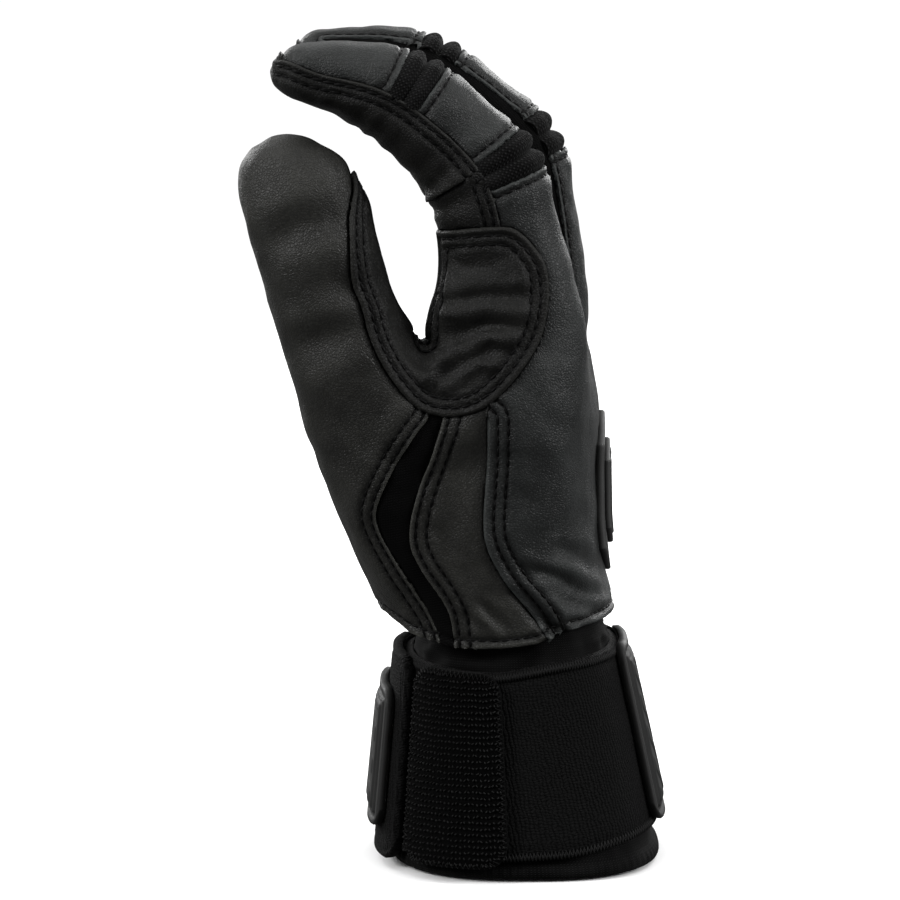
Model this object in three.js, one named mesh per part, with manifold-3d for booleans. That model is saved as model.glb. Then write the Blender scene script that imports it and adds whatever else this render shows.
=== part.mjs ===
// A right-hand batting glove, held up in the form it has on a hand.
// +Z runs up from the wrist to the fingers, +X is the back of the hand, -Y the thumb side.
// The origin is the middle of the wrist opening. All lengths are in millimetres.
import * as THREE from "three";
import { mergeVertices } from "three/addons/utils/BufferGeometryUtils.js";
import Module from "manifold-3d";

const wasm = await Module();
wasm.setup();

// Driving sizes.
const leather_wall = 1.8;
const panel_gap = 0.34;
const hem_height = 49;
const palm_height = 66;
const palm_depth = 46;
const finger_half_thick = 12.8;
const finger_half_wide = 10.3;
const finger_gap = 1.4;
const knuckle_tuck = 2;
const middle_length = 99;
const thumb_height = 110;
const thumb_half_wide = 13.6;
const sleeve_wall = 2.2;
const sleeve_tuck = 12;
const rim_height = 3;
const rim_lift = 1.1;
const strap_wall = 2.0;
const strap_height = 41;
const strap_gap = 0.34;
const flap_wall = 2.2;
const roll_height = 1.0;
const knuckle_drop = 24;
const fold_radius = 1.9;
const badge_half_wide = 15;
const palm_power = 2.6;
const finger_power = 2.35;
const thumb_power = 2.2;

// Sizes that follow: the fingers stand side by side over the palm, and the cuff fits inside it.
const finger_spacing = 2 * finger_half_wide + finger_gap;
const palm_breadth = 4 * finger_spacing - knuckle_tuck;
const cuff_half_depth = 0.63 * palm_depth;
const cuff_half_breadth = 0.43 * palm_breadth;

// Tables: one row for each section, seam point or fold, with its columns named.
const table = (names, data) =>
  data.map((r) => Object.fromEntries(names.split(" ").map((k, i) => [k, r[i]])));
function read(rows, key, at, col) {
  const last = rows[rows.length - 1];
  if (at <= rows[0][key]) return rows[0][col];
  if (at >= last[key]) return last[col];
  const i = rows.findIndex((r) => r[key] >= at);
  const [a, b] = [rows[i - 1], rows[i]];
  const k = (at - a[key]) / (b[key] - a[key]);
  return a[col] + (b[col] - a[col]) * k;
}

// Fingers: knuckle depth x, place in the row, height z over the hem, length, curl as a share of the
// shared curl, backward lean, spread and girth, x as a share of the palm's depth, z of its height.
// Their back seams stand at radial_seam and ulnar_seam degrees from the middle of the back.
const fingers = table(
  "name x place z length curl lean spread girth radial_seam ulnar_seam",
  [
    ["index", -0.0522, -1.5, 0.894, 0.95, 1.0, -0.5, -1.6, 1.0, -88, 46],
    ["middle", -0.0652, -0.5, 0.9242, 0.975, 1.03, -14, -0.4, 1.0, -46, 46],
    ["ring", -0.0652, 0.49, 0.9015, 0.965, 1.03, -13, 0.8, 0.98, -46, 46],
    ["little", -0.0543, 1.41, 0.7879, 0.83, 0.75, 0, 2.4, 0.88, -46, 84],
  ],
);

// Shared curl of the fingers: share of the length and lean from upright in degrees.
const curl_rows = table("s curl", [
  [-0.14, 2],
  [0.02, 3],
  [0.11, 4],
  [0.22, 6],
  [0.3, 10],
  [0.38, 14],
  [0.45, 28],
  [0.5, 40],
  [0.57, 48],
  [0.645, 52],
  [0.72, 60],
  [0.8, 76],
  [0.88, 80],
]);
// Shared finger sections: share of the length, half thickness and half width shares.
const finger_rows = table("s thick wide", [
  [-0.14, 0.95, 0.86],
  [-0.04, 1.2, 1.0],
  [0.02, 1.28, 1.0],
  [0.11, 1.25, 1.0],
  [0.22, 1.1, 1.0],
  [0.33, 0.99, 0.99],
  [0.4535, 1.0, 1.0],
  [0.53, 0.9, 0.98],
  [0.61, 0.86, 0.97],
  [0.7, 0.82, 0.95],
  [0.8, 0.69, 0.89],
  [0.88, 0.57, 0.82],
  [0.95, 0.45, 0.67],
  [0.985, 0.3, 0.45],
  [1.0, 0.14, 0.2],
]);

// Knuckle bands: share of the finger's length where each starts and ends.
const bands = table("name from to", [
  ["pip", 0.42, 0.487],
  ["dip", 0.662, 0.735],
]);
const band_rows = table("u lift", [
  [0, 0],
  [0.12, 0.85],
  [0.36, 0.85],
  [0.5, 0.05],
  [0.64, 0.85],
  [0.88, 0.85],
  [1, 0],
]);

// Thumb sections: height, middle and half width as shares of thumb sizes, y as a share of the breadth.
const thumb_rows = table("z x y wide thick", [
  [0.0, -0.09, -0.19, 1.12, 1.12],
  [0.12, -0.142, -0.22, 1.15, 1.12],
  [0.23, -0.195, -0.27, 1.18, 1.08],
  [0.34, -0.246, -0.32, 1.13, 0.98],
  [0.45, -0.29, -0.36, 1.06, 0.9],
  [0.56, -0.33, -0.395, 1.0, 0.85],
  [0.67, -0.367, -0.42, 0.96, 0.82],
  [0.77, -0.396, -0.436, 0.95, 0.82],
  [0.85, -0.42, -0.442, 0.95, 0.8],
  [0.91, -0.44, -0.442, 0.89, 0.76],
  [0.955, -0.448, -0.442, 0.73, 0.63],
  [0.985, -0.448, -0.442, 0.44, 0.4],
  [0.998, -0.447, -0.442, 0.16, 0.14],
]);

// Palm sections from the hem to the finger roots: faces as shares of the depth, sides of the breadth.
const palm_rows = table("z back palm radial ulnar", [
  [-0.14, 0.47, -0.62, -0.4, 0.39],
  [0.05, 0.455, -0.62, -0.407, 0.395],
  [0.2, 0.395, -0.56, -0.43, 0.42],
  [0.38, 0.365, -0.5, -0.465, 0.448],
  [0.56, 0.36, -0.457, -0.494, 0.47],
  [0.74, 0.368, -0.424, -0.512, 0.482],
  [0.89, 0.335, -0.402, -0.508, 0.48],
  [0.975, 0.29, -0.35, -0.494, 0.465],
  [1.015, 0.16, -0.22, -0.44, 0.42],
]);
const web_power = 2.3;
// The soft web that joins thumb and index finger: heights and depths of its half sections.
const web_rows = table("x y z high deep", [
  [-0.74, -0.435, 0.94, 0.1, 0.06],
  [-0.63, -0.42, 0.83, 0.14, 0.085],
  [-0.46, -0.41, 0.765, 0.17, 0.09],
  [-0.28, -0.41, 0.83, 0.18, 0.09],
  [-0.1, -0.405, 0.92, 0.17, 0.085],
]);

// Seams seen from the thumb side: x as a share of the depth, z as a share of the palm's height.
const thumb_seam = table("x z", [
  [-0.33, -0.16],
  [-0.385, 0.03],
  [-0.426, 0.1],
  [-0.491, 0.18],
  [-0.574, 0.27],
  [-0.657, 0.37],
  [-0.689, 0.44],
  [-0.657, 0.51],
  [-0.596, 0.6],
  [-0.489, 0.72],
  [-0.435, 0.76],
  [-0.4, 0.85],
]);
const gusset_seam = table("x z", [
  [-0.31, -0.16],
  [-0.32, 0.01],
  [-0.335, 0.108],
  [-0.376, 0.162],
  [-0.437, 0.223],
  [-0.491, 0.282],
  [-0.528, 0.342],
  [-0.524, 0.418],
  [-0.5, 0.49],
  [-0.467, 0.56],
  [-0.417, 0.655],
  [-0.37, 0.76],
  [-0.35, 0.85],
]);
const strip_seam = table("x z", [
  [0.24, -0.16],
  [0.115, 0.027],
  [0.07, 0.085],
  [0.004, 0.145],
  [-0.08, 0.215],
  [-0.146, 0.295],
  [-0.183, 0.365],
  [-0.187, 0.44],
  [-0.176, 0.536],
  [-0.165, 0.655],
  [-0.17, 0.85],
]);
const saddle_outline = table("x z", [
  [-0.361, 1.356],
  [-0.248, 1.368],
  [-0.111, 1.374],
  [-0.043, 1.368],
  [0.024, 1.33],
  [0.093, 1.26],
  [0.111, 1.188],
  [0.107, 1.108],
  [0.076, 1.012],
  [0.017, 0.942],
  [-0.065, 0.868],
  [-0.157, 0.805],
  [-0.248, 0.773],
  [-0.339, 0.764],
  [-0.43, 0.773],
  [-0.489, 0.792],
  [-0.559, 0.839],
  [-0.646, 0.926],
  [-0.704, 1.012],
  [-0.739, 1.118],
  [-0.785, 1.194],
  [-0.798, 1.286],
  [-0.798, 1.394],
  [-0.776, 1.5],
  [-0.785, 1.545],
]);
// The open air between thumb and index finger, which closes the panels' outlines.
const thumb_air = table("x z", [
  [-0.72, 1.553],
  [-0.63, 1.455],
  [-0.565, 1.35],
  [-0.489, 1.2],
]);
const hem_line = table("x z", [
  [-1.3, 0.13],
  [-0.64, 0.105],
  [-0.52, 0.045],
  [-0.32, 0.004],
  [-0.1, 0.002],
  [0.065, 0.015],
  [0.2, 0.055],
  [0.44, 0.08],
  [1.3, 0.11],
]);

// Folds of the crotch panel: ends as finger stations and depth shares, with a size share.
const saddle_folds = table("s0 d0 s1 d1 size", [
  [0.235, -0.62, 0.255, 0.02, 0.9],
  [0.165, -0.68, 0.2, 0.12, 1.0],
  [0.095, -0.62, 0.15, 0.1, 1.0],
  [0.02, -0.72, 0.085, -0.05, 1.15],
  [-0.045, -0.75, 0.0, -0.28, 0.9],
]);

const sideX = (r) => r.x * palm_depth;
const sideZ = (r) => hem_height + r.z * palm_height;

// Closed surfaces from points and triangles, turned to face outward.
function solid(points, faces) {
  const vertProperties = new Float32Array(points.flatMap((p) => [p.x, p.y, p.z]));
  const build = (f) =>
    new wasm.Manifold(
      new wasm.Mesh({ numProp: 3, vertProperties, triVerts: new Uint32Array(f.flat()) }),
    );
  const made = build(faces);
  return made.volume() < 0 ? build(faces.map(([a, b, c]) => [a, c, b])) : made;
}
const mean = (ring) =>
  ring.reduce((sum, p) => sum.add(p), new THREE.Vector3()).divideScalar(ring.length);
// A skin through rings of equal count, closed by a fan at each end.
function loft(rings) {
  const n = rings[0].length;
  const points = rings.flat();
  const faces = [];
  for (let i = 0; i + 1 < rings.length; i++)
    for (let k = 0; k < n; k++) {
      const [a, b] = [i * n + k, i * n + ((k + 1) % n)];
      faces.push([a, b, b + n], [a, b + n, a + n]);
    }
  const [low, high] = [points.length, points.length + 1];
  points.push(mean(rings[0]), mean(rings[rings.length - 1]));
  const top = (rings.length - 1) * n;
  for (let k = 0; k < n; k++) {
    const j = (k + 1) % n;
    faces.push([low, j, k], [high, top + k, top + j]);
  }
  return solid(points, faces);
}
// A closed hoop through profiles of equal count.
function hoop(profiles) {
  const n = profiles.length;
  const m = profiles[0].length;
  const faces = [];
  for (let i = 0; i < n; i++)
    for (let k = 0; k < m; k++) {
      const at = (p, q) => (p % n) * m + (q % m);
      faces.push([at(i, k), at(i, k + 1), at(i + 1, k + 1)]);
      faces.push([at(i, k), at(i + 1, k + 1), at(i + 1, k)]);
    }
  return solid(profiles.flat(), faces);
}
// A sheet between two lifts of a surface place(u, v, lift), u and v from 0 to 1.
function sheet(place, us, vs, low, high) {
  const n = vs.length;
  const count = us.length * n;
  const level = (lift) =>
    us.flatMap((u) => vs.map((v) => place(u, v, typeof lift === "function" ? lift(u, v) : lift)));
  const points = [...level(high), ...level(low)];
  const faces = [];
  const quad = (a, b, c, d) => faces.push([a, b, c], [a, c, d]);
  for (let i = 0; i + 1 < us.length; i++)
    for (let k = 0; k + 1 < n; k++) {
      const a = i * n + k;
      quad(a, a + 1, a + n + 1, a + n);
      quad(count + a, count + a + n, count + a + n + 1, count + a + 1);
    }
  const rim = [];
  for (let k = 0; k + 1 < n; k++) rim.push(k);
  for (let i = 0; i + 1 < us.length; i++) rim.push(i * n + n - 1);
  for (let k = n - 1; k > 0; k--) rim.push((us.length - 1) * n + k);
  for (let i = us.length - 1; i > 0; i--) rim.push(i * n);
  rim.forEach((a, i) => {
    const b = rim[(i + 1) % rim.length];
    quad(b, a, count + a, count + b);
  });
  return solid(points, faces);
}
const steps = (n) => Array.from({ length: n + 1 }, (_, i) => i / n);
const union = (list) => wasm.Manifold.union(list);
const radians = THREE.MathUtils.degToRad;
// Point of a unit superellipse at an angle.
function unit(angle, power) {
  const [c, s] = [Math.cos(angle), Math.sin(angle)];
  const k = Math.pow(Math.abs(c) ** power + Math.abs(s) ** power, -1 / power);
  return [c * k, s * k];
}

// Each finger's frame at a station: middle, back direction, side direction, half sizes.
function makeFrames(f) {
  const length = f.length * middle_length;
  const fine = 120;
  const start = -0.2;
  const across = radians(f.spread);
  const turn = (s) =>
    radians(read(curl_rows, "s", s, "curl") * f.curl + f.lean * Math.max(0, 1 - s / 0.5));
  const path = [];
  let [x, z] = [0, 0];
  for (let i = 0; i <= fine * 1.25; i++) {
    const s = start + i / fine;
    path.push([s, x, z]);
    const a = turn(s + 0.5 / fine);
    x -= (Math.sin(a) * length) / fine;
    z += (Math.cos(a) * length) / fine;
  }
  const place = (s) => {
    const k = Math.min(path.length - 2, Math.max(0, Math.floor((s - start) * fine)));
    const t = (s - path[k][0]) * fine;
    return [1, 2].map((c) => path[k][c] + (path[k + 1][c] - path[k][c]) * t);
  };
  const root = place(0);
  return (s) => {
    const [px, pz] = place(s);
    const a = turn(s);
    return {
      middle: new THREE.Vector3(
        sideX(f) + px - root[0],
        f.place * finger_spacing + s * length * Math.sin(across),
        sideZ(f) + pz - root[1],
      ),
      back: new THREE.Vector3(Math.cos(a), 0, Math.sin(a)),
      side: new THREE.Vector3(0, 1, 0),
      thick: read(finger_rows, "s", s, "thick") * finger_half_thick * f.girth,
      wide: read(finger_rows, "s", s, "wide") * finger_half_wide * f.girth,
    };
  };
}
fingers.forEach((f) => (f.at = makeFrames(f)));
// Point of a finger at a station, angle from the back and radius share, pushed in by a wall.
function onFinger(f, s, angle, share, wall = 0) {
  const g = f.at(s);
  const [c, d] = unit(angle, finger_power);
  return g.middle
    .clone()
    .addScaledVector(g.back, c * (g.thick - wall) * share)
    .addScaledVector(g.side, d * (g.wide - wall) * share);
}
const stationsBetween = (from, to) =>
  finger_rows.map((r) => r.s).filter((s) => s > from + 0.001 && s < to - 0.001);
function fingerLoft(f, wall, count) {
  const from = wall ? -0.13 : -0.1;
  const to = wall ? 0.965 : 1.0;
  const inside = stationsBetween(from, to).filter((_, i) => !wall || i % 2 === 1);
  const rings = [from, ...inside, to].map((s) =>
    steps(count - 1).map((_, k) => onFinger(f, s, (2 * Math.PI * k) / count, 1, wall)),
  );
  return loft(rings);
}

// Thumb and palm skins.
function thumbFrame(r) {
  return new THREE.Vector3(r.x * thumb_height, r.y * palm_breadth, hem_height + r.z * thumb_height);
}
function thumbLoft(wall, count) {
  const rows = wall ? thumb_rows.slice(0, -2) : thumb_rows;
  const rings = rows.map((r, i) => {
    const low = thumbFrame(rows[Math.max(0, i - 1)]);
    const high = thumbFrame(rows[Math.min(rows.length - 1, i + 1)]);
    const tangent = high.sub(low);
    const lean = Math.atan2(-tangent.x, tangent.z);
    const across = new THREE.Vector3(Math.cos(lean), 0, Math.sin(lean));
    const side = new THREE.Vector3(0, 1, 0);
    return steps(count - 1).map((_, k) => {
      const [c, d] = unit((2 * Math.PI * k) / count, thumb_power);
      return thumbFrame(r)
        .addScaledVector(across, c * (r.wide * thumb_half_wide - wall))
        .addScaledVector(side, d * (r.thick * thumb_half_wide - wall));
    });
  });
  return loft(rings);
}
// Point of the palm's skin at a height share and an angle from the back.
function onPalm(zs, angle, wall = 0) {
  const get = (col) => read(palm_rows, "z", zs, col);
  const back = get("back") * palm_depth - wall;
  const palm = get("palm") * palm_depth + wall;
  const radial = get("radial") * palm_breadth + wall;
  const ulnar = get("ulnar") * palm_breadth - wall;
  const [c, d] = unit(angle, palm_power);
  const y = (radial + ulnar) / 2 + (d * (ulnar - radial)) / 2;
  const rise = Math.max(0, zs - 0.6) * Math.max(0, y / palm_breadth);
  return new THREE.Vector3(
    (back + palm) / 2 + (c * (back - palm)) / 2,
    y,
    hem_height + zs * palm_height - rise * knuckle_drop,
  );
}
const palm_count = 20;
const finger_sides = 10;
function palmLoft(wall) {
  const count = palm_count;
  const rings = palm_rows.map((r) =>
    steps(count - 1).map((_, k) =>
      onPalm(r.z - (r.z > 0.9 ? wall / palm_height : 0), (2 * Math.PI * k) / count, wall),
    ),
  );
  if (wall) {
    const low = rings[0].map((p) => p.clone().setZ(p.z - 2 * wall));
    rings.unshift(low);
  }
  return loft(rings);
}

function webLoft(wall, count) {
  const rings = web_rows.map((r) =>
    steps(count - 1).map((_, k) => {
      const [c, d] = unit((2 * Math.PI * k) / count, web_power);
      const high = r.high * palm_height - wall;
      const deep = r.deep * palm_breadth - wall;
      return new THREE.Vector3(
        sideX(r),
        r.y * palm_breadth + d * deep,
        sideZ(r) + c * high,
      );
    }),
  );
  return loft(rings);
}

// A soft ridge that lies along a finger's thumb side.
function foldRidge(f, r) {
  const rings = steps(4).map((u) => {
    const s = r.s0 + (r.s1 - r.s0) * u;
    const d = r.d0 + (r.d1 - r.d0) * u;
    const g = f.at(s);
    const out = Math.pow(1 - Math.abs(d) ** finger_power, 1 / finger_power);
    const middle = g.middle
      .clone()
      .addScaledVector(g.back, d * g.thick)
      .addScaledVector(g.side, -out * g.wide + fold_radius * 0.45);
    const size = fold_radius * r.size * (0.25 + 0.75 * Math.sin(Math.PI * u));
    return steps(5).map((_, k) => {
      const a = (2 * Math.PI * k) / 6;
      return middle
        .clone()
        .add(new THREE.Vector3(0, -Math.cos(a) * size, Math.sin(a) * size * 1.5));
    });
  });
  return loft(rings);
}

// The whole leather skin, hollow and open at the wrist.
const index = fingers[0];
const outer = union([
  ...fingers.map((f) => fingerLoft(f, 0, finger_sides)),
  thumbLoft(0, 14),
  webLoft(0, 10),
  palmLoft(0),
  ...saddle_folds.map((r) => foldRidge(index, r)),
]);
const inner = union([
  ...fingers.map((f) => fingerLoft(f, leather_wall, finger_sides - 2)),
  thumbLoft(leather_wall, 12),
  webLoft(leather_wall, 8),
  palmLoft(leather_wall),
]);

// Outlines in the side view, carried across the hand as prisms.
const outline = (rows) => rows.map((r) => new THREE.Vector2(sideX(r), sideZ(r)));
function grow(points, by) {
  const turn = THREE.ShapeUtils.area(points) > 0 ? 1 : -1;
  return points.map((p, i) => {
    const before = points[(i + points.length - 1) % points.length];
    const after = points[(i + 1) % points.length];
    const a = p.clone().sub(before).normalize();
    const b = after.clone().sub(p).normalize();
    const na = new THREE.Vector2(a.y, -a.x);
    const nb = new THREE.Vector2(b.y, -b.x);
    const bend = na.clone().add(nb).normalize();
    const reach = (turn * by) / Math.max(0.5, bend.dot(na));
    return p.clone().addScaledVector(bend, reach);
  });
}
function fromGeometry(geometry) {
  const bare = geometry.clone();
  bare.deleteAttribute("normal");
  bare.deleteAttribute("uv");
  const merged = mergeVertices(bare, 1e-4);
  const place = merged.attributes.position;
  const points = Array.from({ length: place.count }, (_, i) =>
    new THREE.Vector3().fromBufferAttribute(place, i),
  );
  const ids = Array.from(merged.index.array);
  const faces = [];
  for (let i = 0; i < ids.length; i += 3) faces.push([ids[i], ids[i + 1], ids[i + 2]]);
  return solid(points, faces);
}
function prism(points, y0, y1, by = 0) {
  const shape = new THREE.Shape(by ? grow(points, by) : points);
  const geometry = new THREE.ExtrudeGeometry(shape, {
    depth: y1 - y0 + 2 * by,
    bevelEnabled: false,
    steps: 1,
  });
  geometry.rotateX(Math.PI / 2);
  geometry.translate(0, y1 + by, 0);
  return fromGeometry(geometry);
}

// How far the thumb-side panels reach across the hand, as shares of its breadth.
const across = (share) => share * palm_breadth;
const thumb_side = across(-0.814);
const panel_limit = across(-0.302);
const saddle_limit = across(-0.14);
const far_limit = across(-0.186);
const far_start = across(-0.36);
const index_middle = fingers[0].place * finger_spacing;
const saddle_on_index = index_middle - 0.252 * finger_half_wide;

// The thumb's edge next to the palm on its far side, and above the crotch round its free end.
const far_edge = table("x z", [
  [-0.348, -0.167],
  [-0.348, 0.53],
  [-0.413, 0.682],
  [-0.489, 0.773],
]);
const thumb_top = table("x z", [
  [-0.489, 0.573],
  [-0.489, 0.736],
  [-0.522, 0.809],
  [-0.652, 0.891],
  [-0.783, 0.956],
  [-0.891, 0.996],
  [-1.0, 1.016],
  [-1.63, 1.016],
  [-1.63, -0.1],
]);
const air = outline(thumb_air);
const thumbEnd = thumb_top.map(
  (r) => new THREE.Vector2(sideX(r), hem_height + r.z * thumb_height),
);

// Side-view regions of the thumb-side panels, each grown by a margin.
const region = {
  saddle(by) {
    const edge = outline(saddle_outline);
    const arm = outline(saddle_outline.slice(14));
    const whole = [...edge, ...air, ...outline([{ x: -0.457, z: 1.36 }])];
    const thumb = [...arm, ...air, ...outline([{ x: -0.44, z: 0.97 }])];
    return union([
      prism(whole, thumb_side, saddle_on_index, by),
      prism(thumb, thumb_side, saddle_limit, by),
    ]);
  },
  gusset(by) {
    const points = [...outline(thumb_seam), ...outline(gusset_seam).reverse()];
    return prism(points, thumb_side, panel_limit, by);
  },
  strip(by) {
    const points = [...outline(gusset_seam), ...outline(strip_seam).reverse()];
    return prism(points, thumb_side, panel_limit, by);
  },
  thumb(by) {
    const near = [...outline(thumb_seam), ...thumbEnd];
    const far = [...outline(far_edge), ...thumbEnd];
    return union([
      prism(near, thumb_side, panel_limit, by),
      prism(far, far_start, far_limit, by),
    ]);
  },
};
const half = panel_gap / 2;
const below_hem = outline([{ x: 1.3, z: -1.05 }, { x: -1.3, z: -1.05 }]);
const hem_cut = prism([...outline(hem_line), ...below_hem], -palm_breadth, palm_breadth);
const skin = outer.subtract(inner).subtract(hem_cut);

// Thin cutters that follow a finger at an angle, and slabs across it.
function ribbon(f, angleAt, from, to) {
  const rings = [from, ...stationsBetween(from, to), to].map((s) => {
    const g = f.at(s);
    const angle = radians(angleAt(s));
    const [c, d] = unit(angle, finger_power);
    const dir = g.back.clone().multiplyScalar(c * g.thick).addScaledVector(g.side, d * g.wide);
    const cross = g.back
      .clone()
      .multiplyScalar(-d * g.wide)
      .addScaledVector(g.side, c * g.thick)
      .normalize()
      .multiplyScalar(half);
    const near = g.middle.clone().addScaledVector(dir, 0.3);
    const reach = Math.max(1.12, (finger_spacing * 0.53) / Math.max(0.1, Math.abs(d) * g.wide));
    const far = g.middle.clone().addScaledVector(dir, Math.min(1.6, reach));
    return [
      near.clone().add(cross),
      far.clone().add(cross),
      far.clone().sub(cross),
      near.clone().sub(cross),
    ];
  });
  return loft(rings);
}
function wedge(f, s0, s1, a0, a1, r0, r1, grow_by = 0) {
  const length = f.length * middle_length;
  const ends = [s0 - grow_by / length, s1 + grow_by / length];
  const cuts = Math.max(2, Math.ceil(Math.abs(a1 - a0) / 24));
  const rings = ends.map((s) => {
    const g = f.at(s);
    const point = (a, share) => {
      const [c, d] = unit(radians(a), finger_power);
      return g.middle
        .clone()
        .addScaledVector(g.back, c * g.thick * share)
        .addScaledVector(g.side, d * g.wide * share);
    };
    const arc = steps(cuts).map((u) => a0 + (a1 - a0) * u);
    return [...arc.map((a) => point(a, r1)), ...arc.reverse().map((a) => point(a, r0))];
  });
  return loft(rings);
}

// Stretch strips between fingers: the front edge closes on the back seam near the tip.
const strip_end = 0.93;
const front_rows = table("s angle", [
  [0.7, 104],
  [0.85, 82],
  [strip_end, 52],
]);
const front_angle = 104;
const foot_drop = 0.352;
const foot_rise = 1.094;
const foot_front = 0.25;
const foot_wide = 0.641;
function sideStrip(i, by) {
  const parts = [
    [fingers[i], 1],
    [fingers[i + 1], -1],
  ].map(([f, sign]) => {
    const stations = stationsBetween(0.0, strip_end);
    const length = f.length * middle_length;
    const ends = [stations[0] - by / length, ...stations.slice(1), strip_end + by / length];
    const rings = ends.map((s) => {
      const g = f.at(s);
      const slack = THREE.MathUtils.radToDeg(by / (0.5 * (g.thick + g.wide)));
      const back = (sign > 0 ? f.ulnar_seam : -f.radial_seam) - slack;
      const front = read(front_rows, "s", s, "angle") + slack;
      const arc = steps(3).map((u) => sign * radians(back + (front - back) * u));
      return [
        ...arc.map((a) => onFinger(f, s, a, 1.07 + by / g.wide)),
        ...arc.reverse().map((a) => onFinger(f, s, a, 0.5 - by / g.wide)),
      ];
    });
    return loft(rings);
  });
  // The foot of the strip, down between the two fingers.
  const [a, b] = [fingers[i].at(0), fingers[i + 1].at(0)];
  const root = Math.min(a.middle.z, b.middle.z);
  const low = root - foot_drop * finger_half_thick - by;
  const high = root + foot_rise * finger_half_thick;
  const [c] = unit(radians(fingers[i].ulnar_seam), finger_power);
  const x1 = (a.middle.x + b.middle.x) / 2 + c * Math.min(a.thick, b.thick) + by;
  const x0 = (a.middle.x + b.middle.x) / 2 - foot_front * Math.min(a.thick, b.thick) - by;
  const y = (a.middle.y + a.wide + b.middle.y - b.wide) / 2;
  const box = new THREE.BoxGeometry(x1 - x0, foot_wide * finger_half_wide + 2 * by, high - low);
  parts.push(fromGeometry(box.translate((x0 + x1) / 2, y, (low + high) / 2)));
  return union(parts);
}

// Crosswise gaps, the two long side seams and the band beds.
const front_seam_cut = 0.475;
const cutters = [];
fingers.forEach((f, i) => {
  const length = f.length * middle_length;
  const thin = half / length;
  const tip_from = f.radial_seam - (i === 0 ? 0.5 : -1);
  cutters.push(wedge(f, strip_end - thin, strip_end + thin, tip_from, f.ulnar_seam + 0.5, 0.3, 1.3));
  const front_from = i < 3 ? front_angle - 3 : f.ulnar_seam;
  const front_to = i > 0 ? 360 - front_angle + 3 : 360 + f.radial_seam + 0.5;
  cutters.push(
    wedge(f, front_seam_cut - thin, front_seam_cut + thin, front_from, front_to, 0.5, 1.15),
  );
  bands.forEach((b) =>
    cutters.push(wedge(f, b.from, b.to, f.radial_seam, f.ulnar_seam, 0.5, 1.3, half)),
  );
});
const radial_edge = () => fingers[0].radial_seam;
cutters.push(ribbon(fingers[0], radial_edge, 0.2, strip_end + 0.003));
cutters.push(ribbon(fingers[3], () => fingers[3].ulnar_seam, -0.04, strip_end + 0.003));
const ulnar_line = outline(
  table("x z", [
    [-0.087, -0.197],
    [-0.0565, 0.318],
    [-0.037, 0.712],
    [0.013, 0.803],
  ]),
);
const shifted = (points, by) => points.map((p) => new THREE.Vector2(p.x + by, p.y));
const ulnar_slab = [...shifted(ulnar_line, -half), ...shifted(ulnar_line, half).reverse()];
cutters.push(prism(ulnar_slab, across(0.326), across(0.7)));

// Thumb-side panels are taken by region; the rest falls into pieces along the cutters.
const taken = new Map();
const clear = {};
for (const name of ["saddle", "gusset", "strip", "thumb"]) clear[name] = region[name](half);
const order = ["saddle", "gusset", "strip", "thumb"];
order.forEach((name, i) => {
  let piece = skin.intersect(region[name](-half));
  order.slice(0, i).forEach((before) => (piece = piece.subtract(clear[before])));
  taken.set(name, piece);
});
for (const i of [0, 1, 2]) {
  const name = fingers[i].name + "_" + fingers[i + 1].name + "_strip";
  clear[name] = sideStrip(i, half);
  taken.set(name, skin.intersect(sideStrip(i, -half)));
}
const rest = skin.subtract(union([...Object.values(clear), ...cutters]));
const loose = rest.decompose().filter((m) => m.volume() > 4);

const big = (m) => [...m.decompose()].sort((a, b) => b.volume() - a.volume())[0];
const pieces = new Map();
const nodeNames = {
  saddle: "thumb_crotch",
  gusset: "stretch_gusset",
  strip: "side_strip",
  thumb: "thumb_leather",
};
for (const [name, m] of taken) pieces.set(nodeNames[name] || name, big(m));

// Names for the loose pieces, from the seed point nearest each one.
const seeds = [
  ["palm_leather", onPalm(0.5, Math.PI, leather_wall / 2)],
  ["back_leather", onPalm(0.5, 0, leather_wall / 2)],
];
fingers.forEach((f) => {
  const away = leather_wall / 2;
  const at = (s, a) => onFinger(f, s, radians(a), 1, away);
  seeds.push([f.name + "_front", at(0.7, 180)]);
  seeds.push([f.name + "_middle_back", at(0.57, 0)]);
  seeds.push([f.name + "_distal_back", at(0.83, 0)]);
});
for (const [name, seed] of seeds) {
  const probe = fromGeometry(new THREE.BoxGeometry(1.2, 1.2, 1.2).translate(...seed.toArray()));
  const found = loose.find((m) => m.intersect(probe).volume() > 0.01);
  if (!found) throw new Error("no piece at " + name);
  if (pieces.has(name) || [...pieces.values()].includes(found))
    throw new Error(name + " shares its piece");
  pieces.set(name, found);
}
// Knit bands of two rolls over each knuckle.
fingers.forEach((f) =>
  bands.forEach((b) => {
    const place = (u, v, lift) => {
      const s = b.from + (b.to - b.from) * (0.04 + 0.92 * u);
      const margin = 2.0;
      const a = f.radial_seam + margin + (f.ulnar_seam - f.radial_seam - 2 * margin) * v;
      const g = f.at(s);
      const [c, d] = unit(radians(a), finger_power);
      return g.middle
        .clone()
        .addScaledVector(g.back, c * (g.thick + lift))
        .addScaledVector(g.side, d * (g.wide + Math.min(lift, 0.2)));
    };
    const high = (u) => roll_height * read(band_rows, "u", u, "lift");
    const us = band_rows.map((r) => r.u);
    pieces.set(f.name + "_" + b.name + "_band", sheet(place, us, steps(6), -leather_wall, high));
  }),
);

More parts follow.
